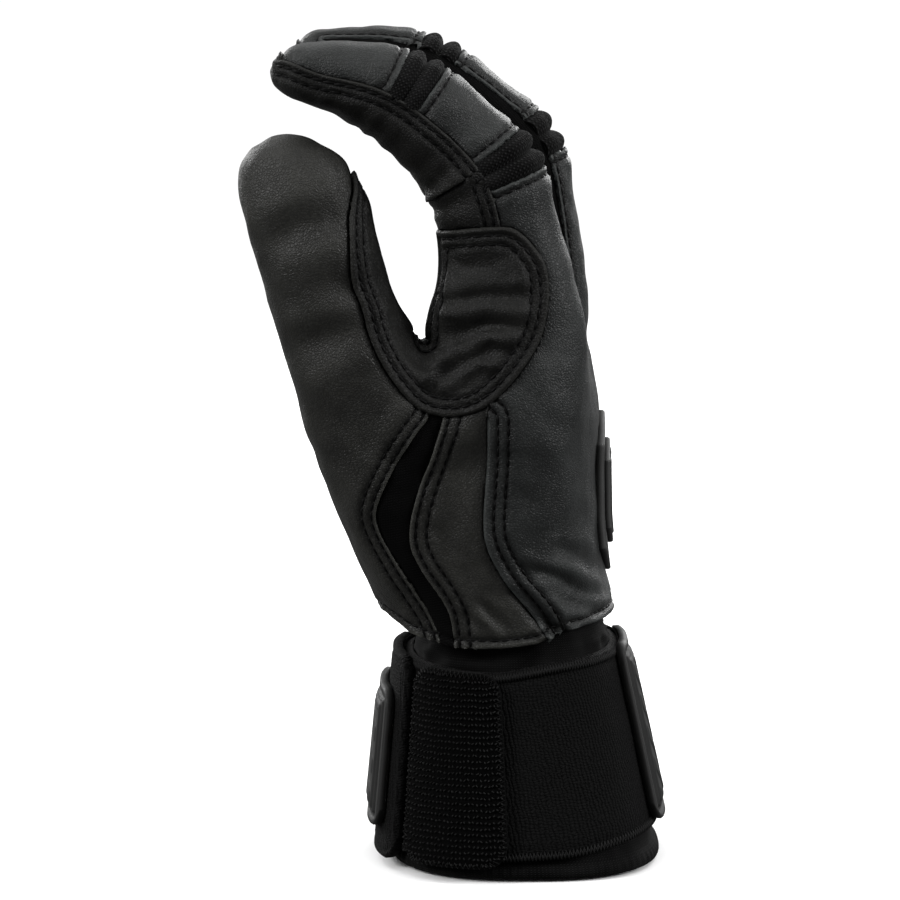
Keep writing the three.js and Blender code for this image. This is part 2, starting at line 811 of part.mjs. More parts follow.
// Cuff: a soft sleeve that tucks inside the leather, and the strap round it.
const cuff_rows = table("z back palm radial ulnar", [
  [0, 1.02, -0.955, -0.99, 0.985],
  [1, 0.64, -0.79, -0.88, 0.85],
  [1.26, 0.54, -0.77, -0.9, 0.88],
]);
function onCuff(z, angle, lift) {
  const share = z / hem_height;
  const get = (col, size) => read(cuff_rows, "z", share, col) * size;
  const back = get("back", cuff_half_depth) + lift;
  const palm = get("palm", cuff_half_depth) - lift;
  const radial = get("radial", cuff_half_breadth) - lift;
  const ulnar = get("ulnar", cuff_half_breadth) + lift;
  const [c, d] = unit(angle, palm_power);
  return new THREE.Vector3(
    (back + palm) / 2 + (c * (back - palm)) / 2,
    (radial + ulnar) / 2 + (d * (ulnar - radial)) / 2,
    z,
  );
}
const round = (n) => steps(n - 1).map((_, k) => (2 * Math.PI * k) / n);
const rim_low = -0.133 * rim_height;
const sleeve = hoop(
  round(palm_count).map((a) => {
    const top = hem_height + sleeve_tuck;
    const outerSide = [
      onCuff(rim_low, a, 0.27 * rim_lift),
      onCuff(0.533 * rim_height, a, rim_lift),
      onCuff(rim_height, a, 0),
      onCuff(hem_height, a, 0),
      onCuff(top, a, 0),
    ];
    const innerSide = [
      onCuff(top, a, -sleeve_wall),
      onCuff(hem_height, a, -sleeve_wall),
      onCuff(rim_low, a, -sleeve_wall),
    ];
    return [...outerSide, ...innerSide];
  }),
);
pieces.set("wrist_sleeve", sleeve);

// Strap edges rise toward the back of the hand.
const strap_rows = table("x low high", [
  [-1, 0.085, 1.1],
  [-0.55, 0.08, 1.075],
  [-0.15, 0.08, 1.06],
  [0.3, 0.1, 1.115],
  [0.75, 0.18, 1.14],
  [1.05, 0.225, 1.15],
]);
const strapEdge = (angle, col) => {
  const x = onCuff(hem_height / 2, angle, 0).x / cuff_half_depth;
  return read(strap_rows, "x", x, col) * strap_height;
};
const onStrap = (angle, share, lift) => {
  const z = strapEdge(angle, "low") * (1 - share) + strapEdge(angle, "high") * share;
  return onCuff(z, angle, lift);
};
pieces.set(
  "strap",
  hoop(
    round(palm_count).map((a) => [
      onStrap(a, 0, strap_gap),
      onStrap(a, 0, strap_gap + strap_wall),
      onStrap(a, 0.5, strap_gap + strap_wall),
      onStrap(a, 1, strap_gap + strap_wall),
      onStrap(a, 1, strap_gap),
      onStrap(a, 0.5, strap_gap),
    ]),
  ),
);

// Rounded plates laid on the cuff between two angles from the back.
function cuffPlate(r, low, high, columns) {
  const corner = r.corner;
  const place = (u, v, lift) => {
    const angle = radians(r.from + (r.to - r.from) * u);
    const wide = Math.abs(r.to - r.from) * r.per_degree;
    const d = Math.min(u, 1 - u) * wide;
    const trim = d < corner ? corner - Math.sqrt(corner ** 2 - (corner - d) ** 2) : 0;
    const z0 = strapEdge(angle, "low") + r.low + trim;
    const z1 = strapEdge(angle, "high") + r.high - trim;
    return onCuff(z0 + (z1 - z0) * v, angle, lift);
  };
  const edge = corner / (Math.abs(r.to - r.from) * r.per_degree);
  const inside = steps(columns).map((u) => edge + (1 - 2 * edge) * u);
  const us = [0, edge * 0.3, ...inside, 1 - edge * 0.3, 1];
  return sheet(place, us, steps(2), low, high);
}
const on_strap = strap_gap + strap_wall + strap_gap;
const plates = table("name from to low high corner lift thick per_degree columns", [
  ["loop_patch", -140, -97, -1.2, 0.2, 5, 0, 1.7, 0.5, 7],
  ["strap_flap", 144, 216, -2.6, 0.6, 5, 0, flap_wall, 0.5, 8],
  ["flap_badge", 152, 208, 4, -7, 4, flap_wall + strap_gap, 1.8, 0.5, 7],
  ["strap_badge", -28, 28, 1, 0.5, 4, 0, 1.8, 0.55, 8],
]);
for (const r of plates) {
  const low = on_strap + r.lift;
  pieces.set(r.name, cuffPlate(r, low, low + r.thick, r.columns));
}

// Badge on the back of the hand: a long hexagon in two steps.
const badge_rows = { low: 0.1894, high: 0.7273, slope: 0.36, inner: 0.66 };
function backBadge(size, low, high) {
  const middle = sideZ({ z: (badge_rows.low + badge_rows.high) / 2 });
  const tall = ((badge_rows.high - badge_rows.low) / 2) * palm_height * size;
  const place = (u, v, lift) => {
    const y = (2 * u - 1) * badge_half_wide * size;
    const side = 1 - badge_rows.slope * Math.abs(2 * u - 1);
    const z = middle + (2 * v - 1) * tall * side;
    const zs = (z - hem_height) / palm_height;
    const [r, w] = ["radial", "ulnar"].map((c) => read(palm_rows, "z", zs, c) * palm_breadth);
    const out = Math.abs((2 * y - r - w) / (w - r)) ** palm_power;
    const [b, p] = ["back", "palm"].map((c) => read(palm_rows, "z", zs, c) * palm_depth);
    const x = (b + p) / 2 + ((b - p) / 2) * Math.pow(1 - out, 1 / palm_power);
    return new THREE.Vector3(x + lift, y, z);
  };
  return sheet(place, steps(8), steps(4), low, high);
}
pieces.set("back_badge", backBadge(1, 0.4, 1.6));
pieces.set("back_badge_relief", backBadge(badge_rows.inner, 1.95, 2.9));

// Looks of the pieces, by the end of the name.
const looks = table("match color roughness", [
  ["band", 0x0b0b0c, 0.95],
  ["strip", 0x101112, 0.95],
  ["gusset", 0x101112, 0.95],
  ["sleeve", 0x0e0e0f, 0.95],
  ["strap", 0x121213, 0.95],
  ["patch", 0x0c0c0d, 1.0],
  ["flap", 0x121213, 0.95],
  ["badge", 0x23282a, 0.7],
  ["relief", 0x23282a, 0.7],
]);
const leather_look = { color: 0x2b2d2c, roughness: 0.55 };
const group = new THREE.Group();
group.name = "batting_glove";
for (const [name, found] of pieces) {
  const m = found.simplify(0.25);
  const raw = m.getMesh();
  const geometry = new THREE.BufferGeometry();
  const place = new Float32Array(raw.numVert * 3);
  for (let i = 0; i < raw.numVert; i++)
    for (let k = 0; k < 3; k++) place[3 * i + k] = raw.vertProperties[raw.numProp * i + k];
  geometry.setAttribute("position", new THREE.BufferAttribute(place, 3));
  geometry.setIndex(Array.from(raw.triVerts));
  geometry.computeVertexNormals();
  const leather = name === "side_strip";
  const look = (!leather && looks.find((l) => name.endsWith(l.match))) || leather_look;
  const material = new THREE.MeshStandardMaterial({ color: look.color, roughness: look.roughness });
  material.name = name;
  const mesh = new THREE.Mesh(geometry, material);
  mesh.name = name;
  group.add(mesh);
}
export default group;
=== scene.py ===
# %% [markdown]
# # A batting glove in leather, knit and elastic
# The glove is one soft skin, like a hand, that is cut into panels and sewn together again.
# This lesson blends finger and palm shapes into a skin, cuts it along its seams, and gives
# each panel its own material, hems and stitches. The other way would be to model the panels
# one by one, but their edges would never quite meet, so one skin is cut instead.
# Lengths are in millimetres until a mesh is made.

# %% Load the frame
import math
import bpy
import numpy as np
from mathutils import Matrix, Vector
from mathutils.kdtree import KDTree


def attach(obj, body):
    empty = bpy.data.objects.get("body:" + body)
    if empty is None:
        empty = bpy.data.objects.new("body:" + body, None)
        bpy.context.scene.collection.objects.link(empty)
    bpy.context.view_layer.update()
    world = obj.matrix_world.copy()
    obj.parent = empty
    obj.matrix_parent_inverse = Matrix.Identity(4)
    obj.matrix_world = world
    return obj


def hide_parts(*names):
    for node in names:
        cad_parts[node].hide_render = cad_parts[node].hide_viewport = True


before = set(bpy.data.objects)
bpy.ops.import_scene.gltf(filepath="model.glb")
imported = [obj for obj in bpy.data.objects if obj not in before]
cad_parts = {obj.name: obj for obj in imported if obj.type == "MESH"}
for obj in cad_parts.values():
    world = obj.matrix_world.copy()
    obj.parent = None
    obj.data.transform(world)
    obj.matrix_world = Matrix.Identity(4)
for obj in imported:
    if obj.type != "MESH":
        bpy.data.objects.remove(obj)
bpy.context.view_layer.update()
rng = np.random.default_rng(7)
# Edge of one cell of the skin's grid.
GRID = 1.7
print("nodes in the frame:", len(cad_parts))

# %% [markdown]
# ## Named sizes
# A glove pattern starts from a few measures of the hand. The same sizes and section tables
# drive the solid model. Each table row is one section, and its lengths are shares of the
# named sizes, so the visible glove and the solid one keep the same size.

# %% Sizes
# Height of the hem, then the palm's height, depth and breadth
HEM, PALM_H, PALM_D, PALM_B = 49.0, 66.0, 46.0, 86.0
# Finger spacing, half thickness and half width, and the middle finger's length
SPACING, HALF_T, HALF_W, MID_L = 22.0, 12.8, 10.3, 99.0
THUMB_H, THUMB_W = 110.0, 13.6
# Half depth and half breadth of the wrist opening
CUFF_D, CUFF_B = 29.0, 37.0
STRAP_H, STRAP_WALL, SLEEVE_WALL = 41.0, 2.0, 2.2
# How square the sections are: 2 would be an ellipse
POWER, FINGER_POWER, WEB_POWER = 2.6, 2.35, 2.3
print("palm:", PALM_D, "deep,", PALM_B, "broad,", PALM_H, "tall")

# %% [markdown]
# ## Finger tables
# A finger is a bent, tapering tube. One table bends it, one gives its thickness and breadth
# from root to tip, and each finger has a row for its place, length, curl and side seams.

# %% Finger tables
FINGERS = {
    # x, place, z, length, curl, lean, spread, girth, radial seam, ulnar seam
    "index": (-2.4, -1.5, 108, 0.95, 1.0, -0.5, -1.6, 1.0, -88, 46),
    "middle": (-3.0, -0.5, 110, 0.975, 1.03, -14, -0.4, 1.0, -46, 46),
    "ring": (-3.0, 0.49, 108.5, 0.965, 1.03, -13, 0.8, 0.98, -46, 46),
    "little": (-2.5, 1.41, 101, 0.83, 0.75, 0, 2.4, 0.88, -46, 84),
}
CURL = np.array([
    # station along the finger, turn in degrees
    (-0.14, 2), (0.02, 3), (0.11, 4), (0.22, 6), (0.3, 10), (0.38, 14), (0.45, 28),
    (0.5, 40), (0.57, 48), (0.645, 52), (0.72, 60), (0.8, 76), (0.88, 80)])
SECTIONS = np.array([
    # station, share of the half thickness, share of the half width
    (-0.14, 0.95, 0.86), (-0.04, 1.2, 1.0), (0.02, 1.28, 1.0), (0.11, 1.25, 1.0),
    (0.22, 1.1, 1.0), (0.33, 0.99, 0.99), (0.4535, 1.0, 1.0), (0.53, 0.9, 0.98),
    (0.61, 0.86, 0.97), (0.7, 0.82, 0.95), (0.8, 0.69, 0.89), (0.88, 0.57, 0.82),
    (0.95, 0.45, 0.67), (0.985, 0.3, 0.45), (1.0, 0.14, 0.2)])
BANDS = {"pip": (0.42, 0.487), "dip": (0.662, 0.735)}   # stations of the two knuckle bands
NAMES = list(FINGERS)
print("fingers:", ", ".join(NAMES))

# %% [markdown]
# ## Thumb, palm and web tables
# The thumb, the palm and the web between thumb and index finger are no simple tubes, so
# each row says where its section lies as well as how thick and broad it is there.

# %% Thumb, palm and web tables
THUMB = np.array([
    # height, x and y of the middle, thickness, breadth
    (0.0, -0.09, -0.19, 1.12, 1.12), (0.12, -0.142, -0.22, 1.15, 1.12),
    (0.23, -0.195, -0.27, 1.18, 1.08), (0.34, -0.246, -0.32, 1.13, 0.98),
    (0.45, -0.29, -0.36, 1.06, 0.9), (0.56, -0.33, -0.395, 1.0, 0.85),
    (0.67, -0.367, -0.42, 0.96, 0.82), (0.77, -0.396, -0.436, 0.95, 0.82),
    (0.85, -0.42, -0.442, 0.95, 0.8), (0.91, -0.44, -0.442, 0.89, 0.76),
    (0.955, -0.448, -0.442, 0.73, 0.63), (0.985, -0.448, -0.442, 0.44, 0.4),
    (0.998, -0.447, -0.442, 0.16, 0.14)])
PALM = np.array([
    # height, then the back, palm, thumb and little-finger sides
    (-0.14, 0.47, -0.62, -0.4, 0.39), (0.05, 0.455, -0.62, -0.407, 0.395),
    (0.2, 0.395, -0.56, -0.43, 0.42), (0.38, 0.365, -0.5, -0.465, 0.448),
    (0.56, 0.36, -0.457, -0.494, 0.47), (0.74, 0.368, -0.424, -0.512, 0.482),
    (0.89, 0.335, -0.402, -0.508, 0.48), (0.975, 0.29, -0.35, -0.494, 0.465),
    (1.015, 0.16, -0.22, -0.44, 0.42)])
WEB = np.array([
    # x, then y and z of the middle, half height, half depth
    (-0.74, -0.435, 0.94, 0.1, 0.06), (-0.63, -0.42, 0.83, 0.14, 0.085),
    (-0.46, -0.41, 0.765, 0.17, 0.09), (-0.28, -0.41, 0.83, 0.18, 0.09),
    (-0.1, -0.405, 0.92, 0.17, 0.085)])
print("sections:", len(THUMB), "of the thumb,", len(PALM), "of the palm,", len(WEB), "of the web")

# %% [markdown]
# ## Seam lines
# The seams are what the eye reads first on this glove. The thumb-side seams are drawn in
# the side view, the way a pattern is drawn. x is a share of the palm's depth and z a share
# of its height above the hem, and only THUMB_TOP is in millimetres.

# %% Seam tables
THUMB_SEAM = [
    (-0.33, -0.16), (-0.385, 0.03), (-0.426, 0.1), (-0.491, 0.18), (-0.574, 0.27),
    (-0.657, 0.37), (-0.689, 0.44), (-0.657, 0.51), (-0.596, 0.6), (-0.489, 0.72),
    (-0.435, 0.76), (-0.4, 0.85)]
GUSSET_SEAM = [
    (-0.31, -0.16), (-0.32, 0.01), (-0.335, 0.108), (-0.376, 0.162), (-0.437, 0.223),
    (-0.491, 0.282), (-0.528, 0.342), (-0.524, 0.418), (-0.5, 0.49), (-0.467, 0.56),
    (-0.417, 0.655), (-0.37, 0.76), (-0.35, 0.85)]
STRIP_SEAM = [
    (0.24, -0.16), (0.115, 0.027), (0.07, 0.085), (0.004, 0.145), (-0.08, 0.215),
    (-0.146, 0.295), (-0.183, 0.365), (-0.187, 0.44), (-0.176, 0.536), (-0.165, 0.655),
    (-0.17, 0.85)]
CROTCH = [
    (-0.361, 1.356), (-0.248, 1.368), (-0.111, 1.374), (-0.043, 1.368), (0.024, 1.33),
    (0.093, 1.26), (0.111, 1.188), (0.107, 1.108), (0.076, 1.012), (0.017, 0.942),
    (-0.065, 0.868), (-0.157, 0.805), (-0.248, 0.773), (-0.339, 0.764), (-0.43, 0.773),
    (-0.489, 0.792), (-0.559, 0.839), (-0.646, 0.926), (-0.704, 1.012), (-0.739, 1.118),
    (-0.785, 1.194), (-0.798, 1.286), (-0.798, 1.394), (-0.776, 1.5), (-0.785, 1.545)]
# The open gap between thumb and index finger, and the way round the thumb's far side
AIR = [(-0.72, 1.553), (-0.63, 1.455), (-0.565, 1.35), (-0.489, 1.2)]
THUMB_TOP = [
    (-22.5, 112), (-22.5, 130), (-24, 138), (-30, 147), (-36, 154.2), (-41, 158.6),
    (-46, 160.8), (-75, 160.8), (-75, 38)]
HEM_LINE = [
    (-1.3, 0.13), (-0.64, 0.105), (-0.52, 0.045), (-0.32, 0.004), (-0.1, 0.002),
    (0.065, 0.015), (0.2, 0.055), (0.44, 0.08), (1.3, 0.11)]


def side(rows):
    """Shares of the palm as millimetres in the side view."""
    return np.array([(x * PALM_D, HEM + z * PALM_H) for x, z in rows])


def rounded(line, rounds=2):
    """A seam line with its corners cut soft, round after round."""
    for _ in range(rounds):
        starts, ends = line[:-1], line[1:]
        new = np.stack([starts * 0.75 + ends * 0.25, starts * 0.25 + ends * 0.75], 1)
        line = np.vstack([line[:1], new.reshape(-1, 2), line[-1:]])
    return line


print("seam points after rounding:", len(rounded(side(CROTCH))))

# %% [markdown]
# ## Smooth sections
# Straight joins between table rows would show as rings round the finger. A Blender curve
# would bend them, but not each column by itself, so each column is resampled and smoothed.


# %% Resampling
def fine(rows, n=160, soft=5):
    """A table resampled at n even steps of its first column, smoothed over 2 * soft + 1."""
    key = np.linspace(rows[0, 0], rows[-1, 0], n)
    out = [key]
    kernel = np.hanning(2 * soft + 3)[1:-1]
    kernel /= kernel.sum()
    for column in rows[:, 1:].T:
        values = np.interp(key, rows[:, 0], column)
        padded = np.concatenate([
            2 * values[0] - values[soft:0:-1], values, 2 * values[-1] - values[-2:-soft - 2:-1]])
        out.append(np.convolve(padded, kernel, "valid"))
    return np.stack(out, 1)


def tip_round(s, size, start):
    """A round end: the size shrinks as an ellipse from start to 1."""
    u = np.clip((s - start) / (1 - start), 0, 1)
    base = np.interp(start, s, size)
    return np.where(s > start, base * np.maximum(0.04, 1 - u**2.3) ** 0.5, size)


print("palm sections after resampling:", len(fine(PALM)))

# %% [markdown]
# ## Where a point lies on a finger
# Bands, seams and folds are all placed along and round a finger. So every point of the skin
# is told its station on the finger, how far it is to the back and to the side, and its
# distance from the finger's surface. A plain tube mesh couldn't answer that.

# %% Digit
COLUMNS = 5   # coords gives this many columns for each point
CHUNK = 20000   # points handled at a time, to spare memory
DEEP = -50.0   # a distance that is well inside every form


class Digit:
    """A finger or thumb: samples of its middle line, its frames and half sizes."""

    def __init__(self, s, middle, back, thick, wide, length):
        self.s, self.middle, self.back = s, middle, back
        self.thick, self.wide, self.length = thick, wide, length
        tangent = np.gradient(middle, axis=0)
        self.tangent = tangent / np.linalg.norm(tangent, axis=1, keepdims=True)

    def nearest(self, xz):
        """Index of the middle-line sample nearest to each point in the side view."""
        line = self.middle[:, ::2].astype(np.float32)
        near = np.empty(len(xz), int)
        for a in range(0, len(xz), CHUNK):
            part = xz[a:a + CHUNK].astype(np.float32)
            gap = ((part[:, None, 0] - line[None, :, 0])**2
                   + (part[:, None, 1] - line[None, :, 1])**2)
            near[a:a + CHUNK] = gap.argmin(1)
        return near

    def coords(self, p, near=None):
        """Columns: station, back share, side share, distance from the skin, mean radius."""
        near = self.nearest(p[:, ::2]) if near is None else near
        pitch = self.length / len(self.s)
        for _ in range(2):
            d = p - self.middle[near]
            along = (d * self.tangent[near]).sum(1)
            near = np.clip(near + np.round(along / pitch).astype(int), 0, len(self.s) - 1)
        d = p - self.middle[near]
        along = (d * self.tangent[near]).sum(1)
        dn = (d * self.back[near]).sum(1)
        db = d[:, 1] - along * self.tangent[near][:, 1]
        t, w = self.thick[near], self.wide[near]
        r = ((np.abs(dn) / t)**FINGER_POWER + (np.abs(db) / w)**FINGER_POWER)
        r = np.maximum(r, 1e-6) ** (1 / FINGER_POWER)
        flat = np.maximum(np.hypot(dn, db), 1e-3)
        dist = np.where(flat < 0.5, -np.minimum(t, w), flat - flat / r)
        over = np.where(near == len(self.s) - 1, along, DEEP)
        over = np.where(near == 0, -along, over)
        s = self.s[near] + along / self.length
        return np.stack([s, dn / t, db / w, np.maximum(dist, over), 0.5 * (t + w)], 1)


print("columns for each digit:", COLUMNS)

# %% [markdown]
# ## Fingers and thumb
# The hand in the glove is loosely curled. A finger bends by its curl table, as if turned a
# little at every station, and the thumb follows its own rows of middle points. An armature
# could bend straight fingers, but would pinch the leather at each joint.

# %% Middle lines
ROOT, STATIONS = -0.14, 171   # where a finger starts inside the palm, and its samples


def make_finger(x, place, z, length, curl, lean, spread, girth, *_):
    full = length * MID_L
    s = np.linspace(ROOT, 1.0, STATIONS)
    turn = np.radians(
        np.interp(s, *fine(CURL, 160, 3)[:, :2].T) * curl + lean * np.maximum(0, 1 - s / 0.5))
    step = np.gradient(s) * full
    px, pz = -np.cumsum(np.sin(turn) * step), np.cumsum(np.cos(turn) * step)
    px, pz = px - np.interp(0, s, px) + x, pz - np.interp(0, s, pz) + z
    py = place * SPACING + s * full * math.sin(math.radians(spread))
    rows = fine(SECTIONS, 160, 4)
    thick = np.interp(s, rows[:, 0], rows[:, 1]) * HALF_T * girth
    wide = np.interp(s, rows[:, 0], rows[:, 2]) * HALF_W * girth
    back = np.stack([np.cos(turn), 0 * turn, np.sin(turn)], 1)
    return Digit(s, np.stack([px, py, pz], 1), back,
                 tip_round(s, thick, 0.925), tip_round(s, wide, 0.915), full)


def make_thumb():
    rows = fine(THUMB, 120, 5)
    middle = np.stack([rows[:, 1] * THUMB_H, rows[:, 2] * PALM_B, HEM + rows[:, 0] * THUMB_H], 1)
    slope = np.gradient(middle, axis=0)
    lean = np.arctan2(-slope[:, 0], slope[:, 2])
    back = np.stack([np.cos(lean), 0 * lean, np.sin(lean)], 1)
    length = np.linalg.norm(np.diff(middle, axis=0), axis=1).sum()
    s = rows[:, 0]
    return Digit(s, middle, back, tip_round(s, rows[:, 3], 0.885) * THUMB_W,
                 tip_round(s, rows[:, 4], 0.885) * THUMB_W, length)


digits = {name: make_finger(*row) for name, row in FINGERS.items()}
thumb = make_thumb()
print("index tip at", digits["index"].middle[-1].round(1))

# %% [markdown]
# ## The blended skin
# Each form gives a distance to its surface. A smooth minimum joins thumb, web and palm
# with soft valleys, and each finger to the palm, while the fingers stay apart. A Boolean
# union would leave hard creases there, and a hand has none.

# %% Distance of the palm
KNUCKLE_START, KNUCKLE_DROP = 0.6, 24   # the knuckle line falls to the little finger
PALM_TOP = 1.02   # height share where the palm ends


def smooth_min(a, b, k):
    """The smaller of two distances, with a round valley k wide where they meet."""
    h = np.maximum(k - np.abs(a - b), 0) / k
    return np.minimum(a, b) - h * h * k / 4


def palm_share(p):
    """Height share of a point on the palm, with the knuckle line dropping to the little side."""
    zs = (p[:, 2] - HEM) / PALM_H
    for _ in range(3):
        slope = np.maximum(0, p[:, 1] / PALM_B)
        rise = np.maximum(0, zs - KNUCKLE_START) * slope * KNUCKLE_DROP
        zs = (p[:, 2] + rise - HEM) / PALM_H
    return zs


def palm_distance(p):
    rows = fine(PALM, 160, 6)
    zs = palm_share(p)
    back, palm = [np.interp(zs, rows[:, 0], rows[:, k]) * PALM_D for k in (1, 2)]
    radial, ulnar = [np.interp(zs, rows[:, 0], rows[:, k]) * PALM_B for k in (3, 4)]
    u = (2 * p[:, 0] - back - palm) / (back - palm)
    v = (2 * p[:, 1] - radial - ulnar) / (ulnar - radial)
    r = np.maximum(np.abs(u)**POWER + np.abs(v)**POWER, 1e-6) ** (1 / POWER)
    flat = np.hypot(u * (back - palm) / 2, v * (ulnar - radial) / 2)
    dist = np.where(flat < 0.5, -10, flat - flat / r)
    return np.maximum(dist, (zs - PALM_TOP) * PALM_H)


inner = palm_distance(np.array([[-5.0, 0.0, HEM + PALM_H / 2]]))
print("the palm's middle is", -inner.round(1)[0], "mm under the skin")

# %% [markdown]
# ## Web and whole hand
# The web is a soft bridge from the thumb to the index finger. It is blended in with thumb
# and palm, and the fingers come last, each by itself, so that they don't grow together.

# %% Distance of the hand
THUMB_BLEND, WEB_BLEND, FINGER_BLEND = 9, 7, 5   # how softly the forms run together


def web_distance(p):
    rows = fine(WEB, 60, 4)
    x = p[:, 0] / PALM_D
    y0, z0, high, deep = [np.interp(x, rows[:, 0], rows[:, k]) for k in (1, 2, 3, 4)]
    dz, dy = p[:, 2] - HEM - z0 * PALM_H, p[:, 1] - y0 * PALM_B
    r = np.abs(dz / (high * PALM_H))**WEB_POWER + np.abs(dy / (deep * PALM_B))**WEB_POWER
    r = np.maximum(r, 1e-6) ** (1 / WEB_POWER)
    flat = np.hypot(dz, dy)
    dist = np.where(flat < 0.5, -5, flat - flat / r)
    over = np.maximum(rows[0, 0] - x, x - rows[-1, 0]) * PALM_D
    return np.maximum(dist, over)


def skin_distance(p, near):
    """Distance to the whole hand; near(digit) gives each point's nearest sample on a digit."""
    body = smooth_min(palm_distance(p), thumb.coords(p, near(thumb))[:, 3], THUMB_BLEND)
    body = smooth_min(body, web_distance(p), WEB_BLEND)
    out = body.copy()
    for digit in digits.values():
        own = digit.coords(p, near(digit))[:, 3]
        out = np.minimum(out, smooth_min(body, own, FINGER_BLEND))
    return out


print("the index finger is blended in over", FINGER_BLEND, "mm")

# %% [markdown]
# ## From field to mesh
# Surface nets put one point in every grid cell that the skin passes through, and one
# four-sided face across every grid edge that it cuts. Metaballs blend forms too, but they
# are built from balls, capsules and boxes, and these sections are none of those.


# %% Surface nets
def surface_nets(field, axes):
    """Points and four-sided faces where a field on a grid passes through zero."""
    inside = field < 0
    n = np.array(field.shape) - 1
    corners = [(i, j, k) for i in (0, 1) for j in (0, 1) for k in (0, 1)]

    def corner(values, c):
        return values[c[0]:c[0] + n[0], c[1]:c[1] + n[1], c[2]:c[2] + n[2]]

    total = np.zeros((*n, 3))
    count = np.zeros(n)
    for a in corners:
        for b in corners:
            if sum(b) - sum(a) != 1 or any(y < x for x, y in zip(a, b)):
                continue
            crossed = corner(inside, a) != corner(inside, b)
            fa, fb = corner(field, a), corner(field, b)
            t = np.where(crossed, fa / np.where(crossed, fa - fb, 1), 0)
            for axis in range(3):
                total[..., axis] += crossed * (a[axis] + t * (b[axis] - a[axis]))
            count += crossed
    live = count > 0
    index = np.full(n, -1)
    index[live] = np.arange(live.sum())
    cells = np.argwhere(live)
    place = cells + total[live] / count[live][:, None]
    verts = np.stack([
        np.interp(place[:, k], np.arange(len(axes[k])), axes[k]) for k in range(3)], 1)
    quads = []
    for axis in range(3):
        u, v = [(1, 2), (2, 0), (0, 1)][axis]
        lower = [slice(1, -1)] * 3
        lower[axis] = slice(0, -1)
        upper = list(lower)
        upper[axis] = slice(1, None)
        a, b = inside[tuple(lower)], inside[tuple(upper)]
        at = np.argwhere(a != b) + np.array([0 if k == axis else 1 for k in range(3)])
        out = a[a != b]
        eu, ev = np.eye(3, dtype=int)[u], np.eye(3, dtype=int)[v]
        loop = [index[tuple((at - d).T)] for d in (eu + ev, ev, 0 * eu, eu)]
        faces = np.stack(loop, 1)
        faces[~out] = faces[~out][:, ::-1]
        quads.append(faces)
    quads = np.concatenate(quads)
    return verts, quads[(quads >= 0).all(1)]


ball_axis = np.linspace(-2, 2, 9)
ball = np.linalg.norm(np.stack(np.meshgrid(*[ball_axis] * 3, indexing="ij")), axis=0) - 1
print("a test ball has", len(surface_nets(ball, [ball_axis] * 3)[1]), "faces")

# %% [markdown]
# ## A grid round the hand
# The field is measured in a box round the hand. The cells are narrower across the gaps
# between the fingers, so that these thin gaps stay open.

# %% Grid
BOX_LOW, BOX_HIGH = np.array([-66.0, -54.0, 42.0]), np.array([27.0, 47.0, 186.0])
GAP_GRID, GAP_REACH = 0.5, 2.2   # cell width near a gap, and how near that is
axes = [np.arange(a, b, GRID) for a, b in zip(BOX_LOW, BOX_HIGH)]
gaps = np.array([-1, 0, 1]) * SPACING
steps = [BOX_LOW[1]]
while steps[-1] < BOX_HIGH[1]:
    at_gap = np.abs(gaps - steps[-1]).min() < GAP_REACH
    steps.append(steps[-1] + (GAP_GRID if at_gap else GRID))
axes[1] = np.array(steps)
shape = [len(a) for a in axes]
points = np.stack(np.meshgrid(*axes, indexing="ij"), -1).reshape(-1, 3)
flat_points = np.stack(np.meshgrid(axes[0], axes[2], indexing="ij"), -1).reshape(-1, 2)


def near_on_grid(digit):
    """Nearest sample for each grid point. It is the same at every depth, so found once."""
    near = digit.nearest(flat_points).reshape(shape[0], 1, shape[2])
    return np.broadcast_to(near, shape).ravel()


field = skin_distance(points, near_on_grid).reshape(shape)
raw_v, raw_f = surface_nets(field, axes)
print("skin before subdivision:", len(raw_v), "points")

# %% [markdown]
# ## Mesh helpers
# Arrays are quick to compute with, and Blender's modifiers need meshes. A small set of
# helpers turns one into the other, and millimetres into Blender's metres.

# %% Mesh helpers
TO_METRES, TO_MM = 0.001, 1000


def new_mesh(name, verts, faces):
    """A Blender mesh in metres from points in millimetres."""
    mesh = bpy.data.meshes.new(name)
    points = (np.asarray(verts) * TO_METRES).tolist()
    mesh.from_pydata(points, [], [list(map(int, f)) for f in faces])
    mesh.update()
    return mesh


def arrays(mesh):
    """Points in millimetres and triangles of a mesh."""
    v = np.empty(len(mesh.vertices) * 3)
    mesh.vertices.foreach_get("co", v)
    mesh.calc_loop_triangles()
    t = np.empty(len(mesh.loop_triangles) * 3, int)
    mesh.loop_triangles.foreach_get("vertices", t)
    return v.reshape(-1, 3) * TO_MM, t.reshape(-1, 3)


def with_modifiers(mesh, *steps):
    """The mesh after some modifiers, as arrays."""
    obj = bpy.data.objects.new("work", mesh)
    bpy.context.collection.objects.link(obj)
    for kind, settings in steps:
        modifier = obj.modifiers.new(kind, kind)
        for key, value in settings.items():
            setattr(modifier, key, value)
    done = obj.evaluated_get(bpy.context.evaluated_depsgraph_get())
    out = arrays(done.to_mesh())
    bpy.data.objects.remove(obj)
    return out


def point_normals(v, t):
    """The direction out of the skin at each point."""
    a, b, c = v[t[:, 0]], v[t[:, 1]], v[t[:, 2]]
    n = np.cross(b - a, c - a)
    out = np.zeros_like(v)
    for k in range(3):
        np.add.at(out, t[:, k], n)
    return out / np.maximum(np.linalg.norm(out, axis=1, keepdims=True), 1e-12)


print("one unit of length is", TO_METRES, "m")

# %% [markdown]
# ## The skin
# Three rounds of smoothing take away the steps of the grid, and one subdivision rounds the
# faces. More subdivision would only add points, because the folds come later.

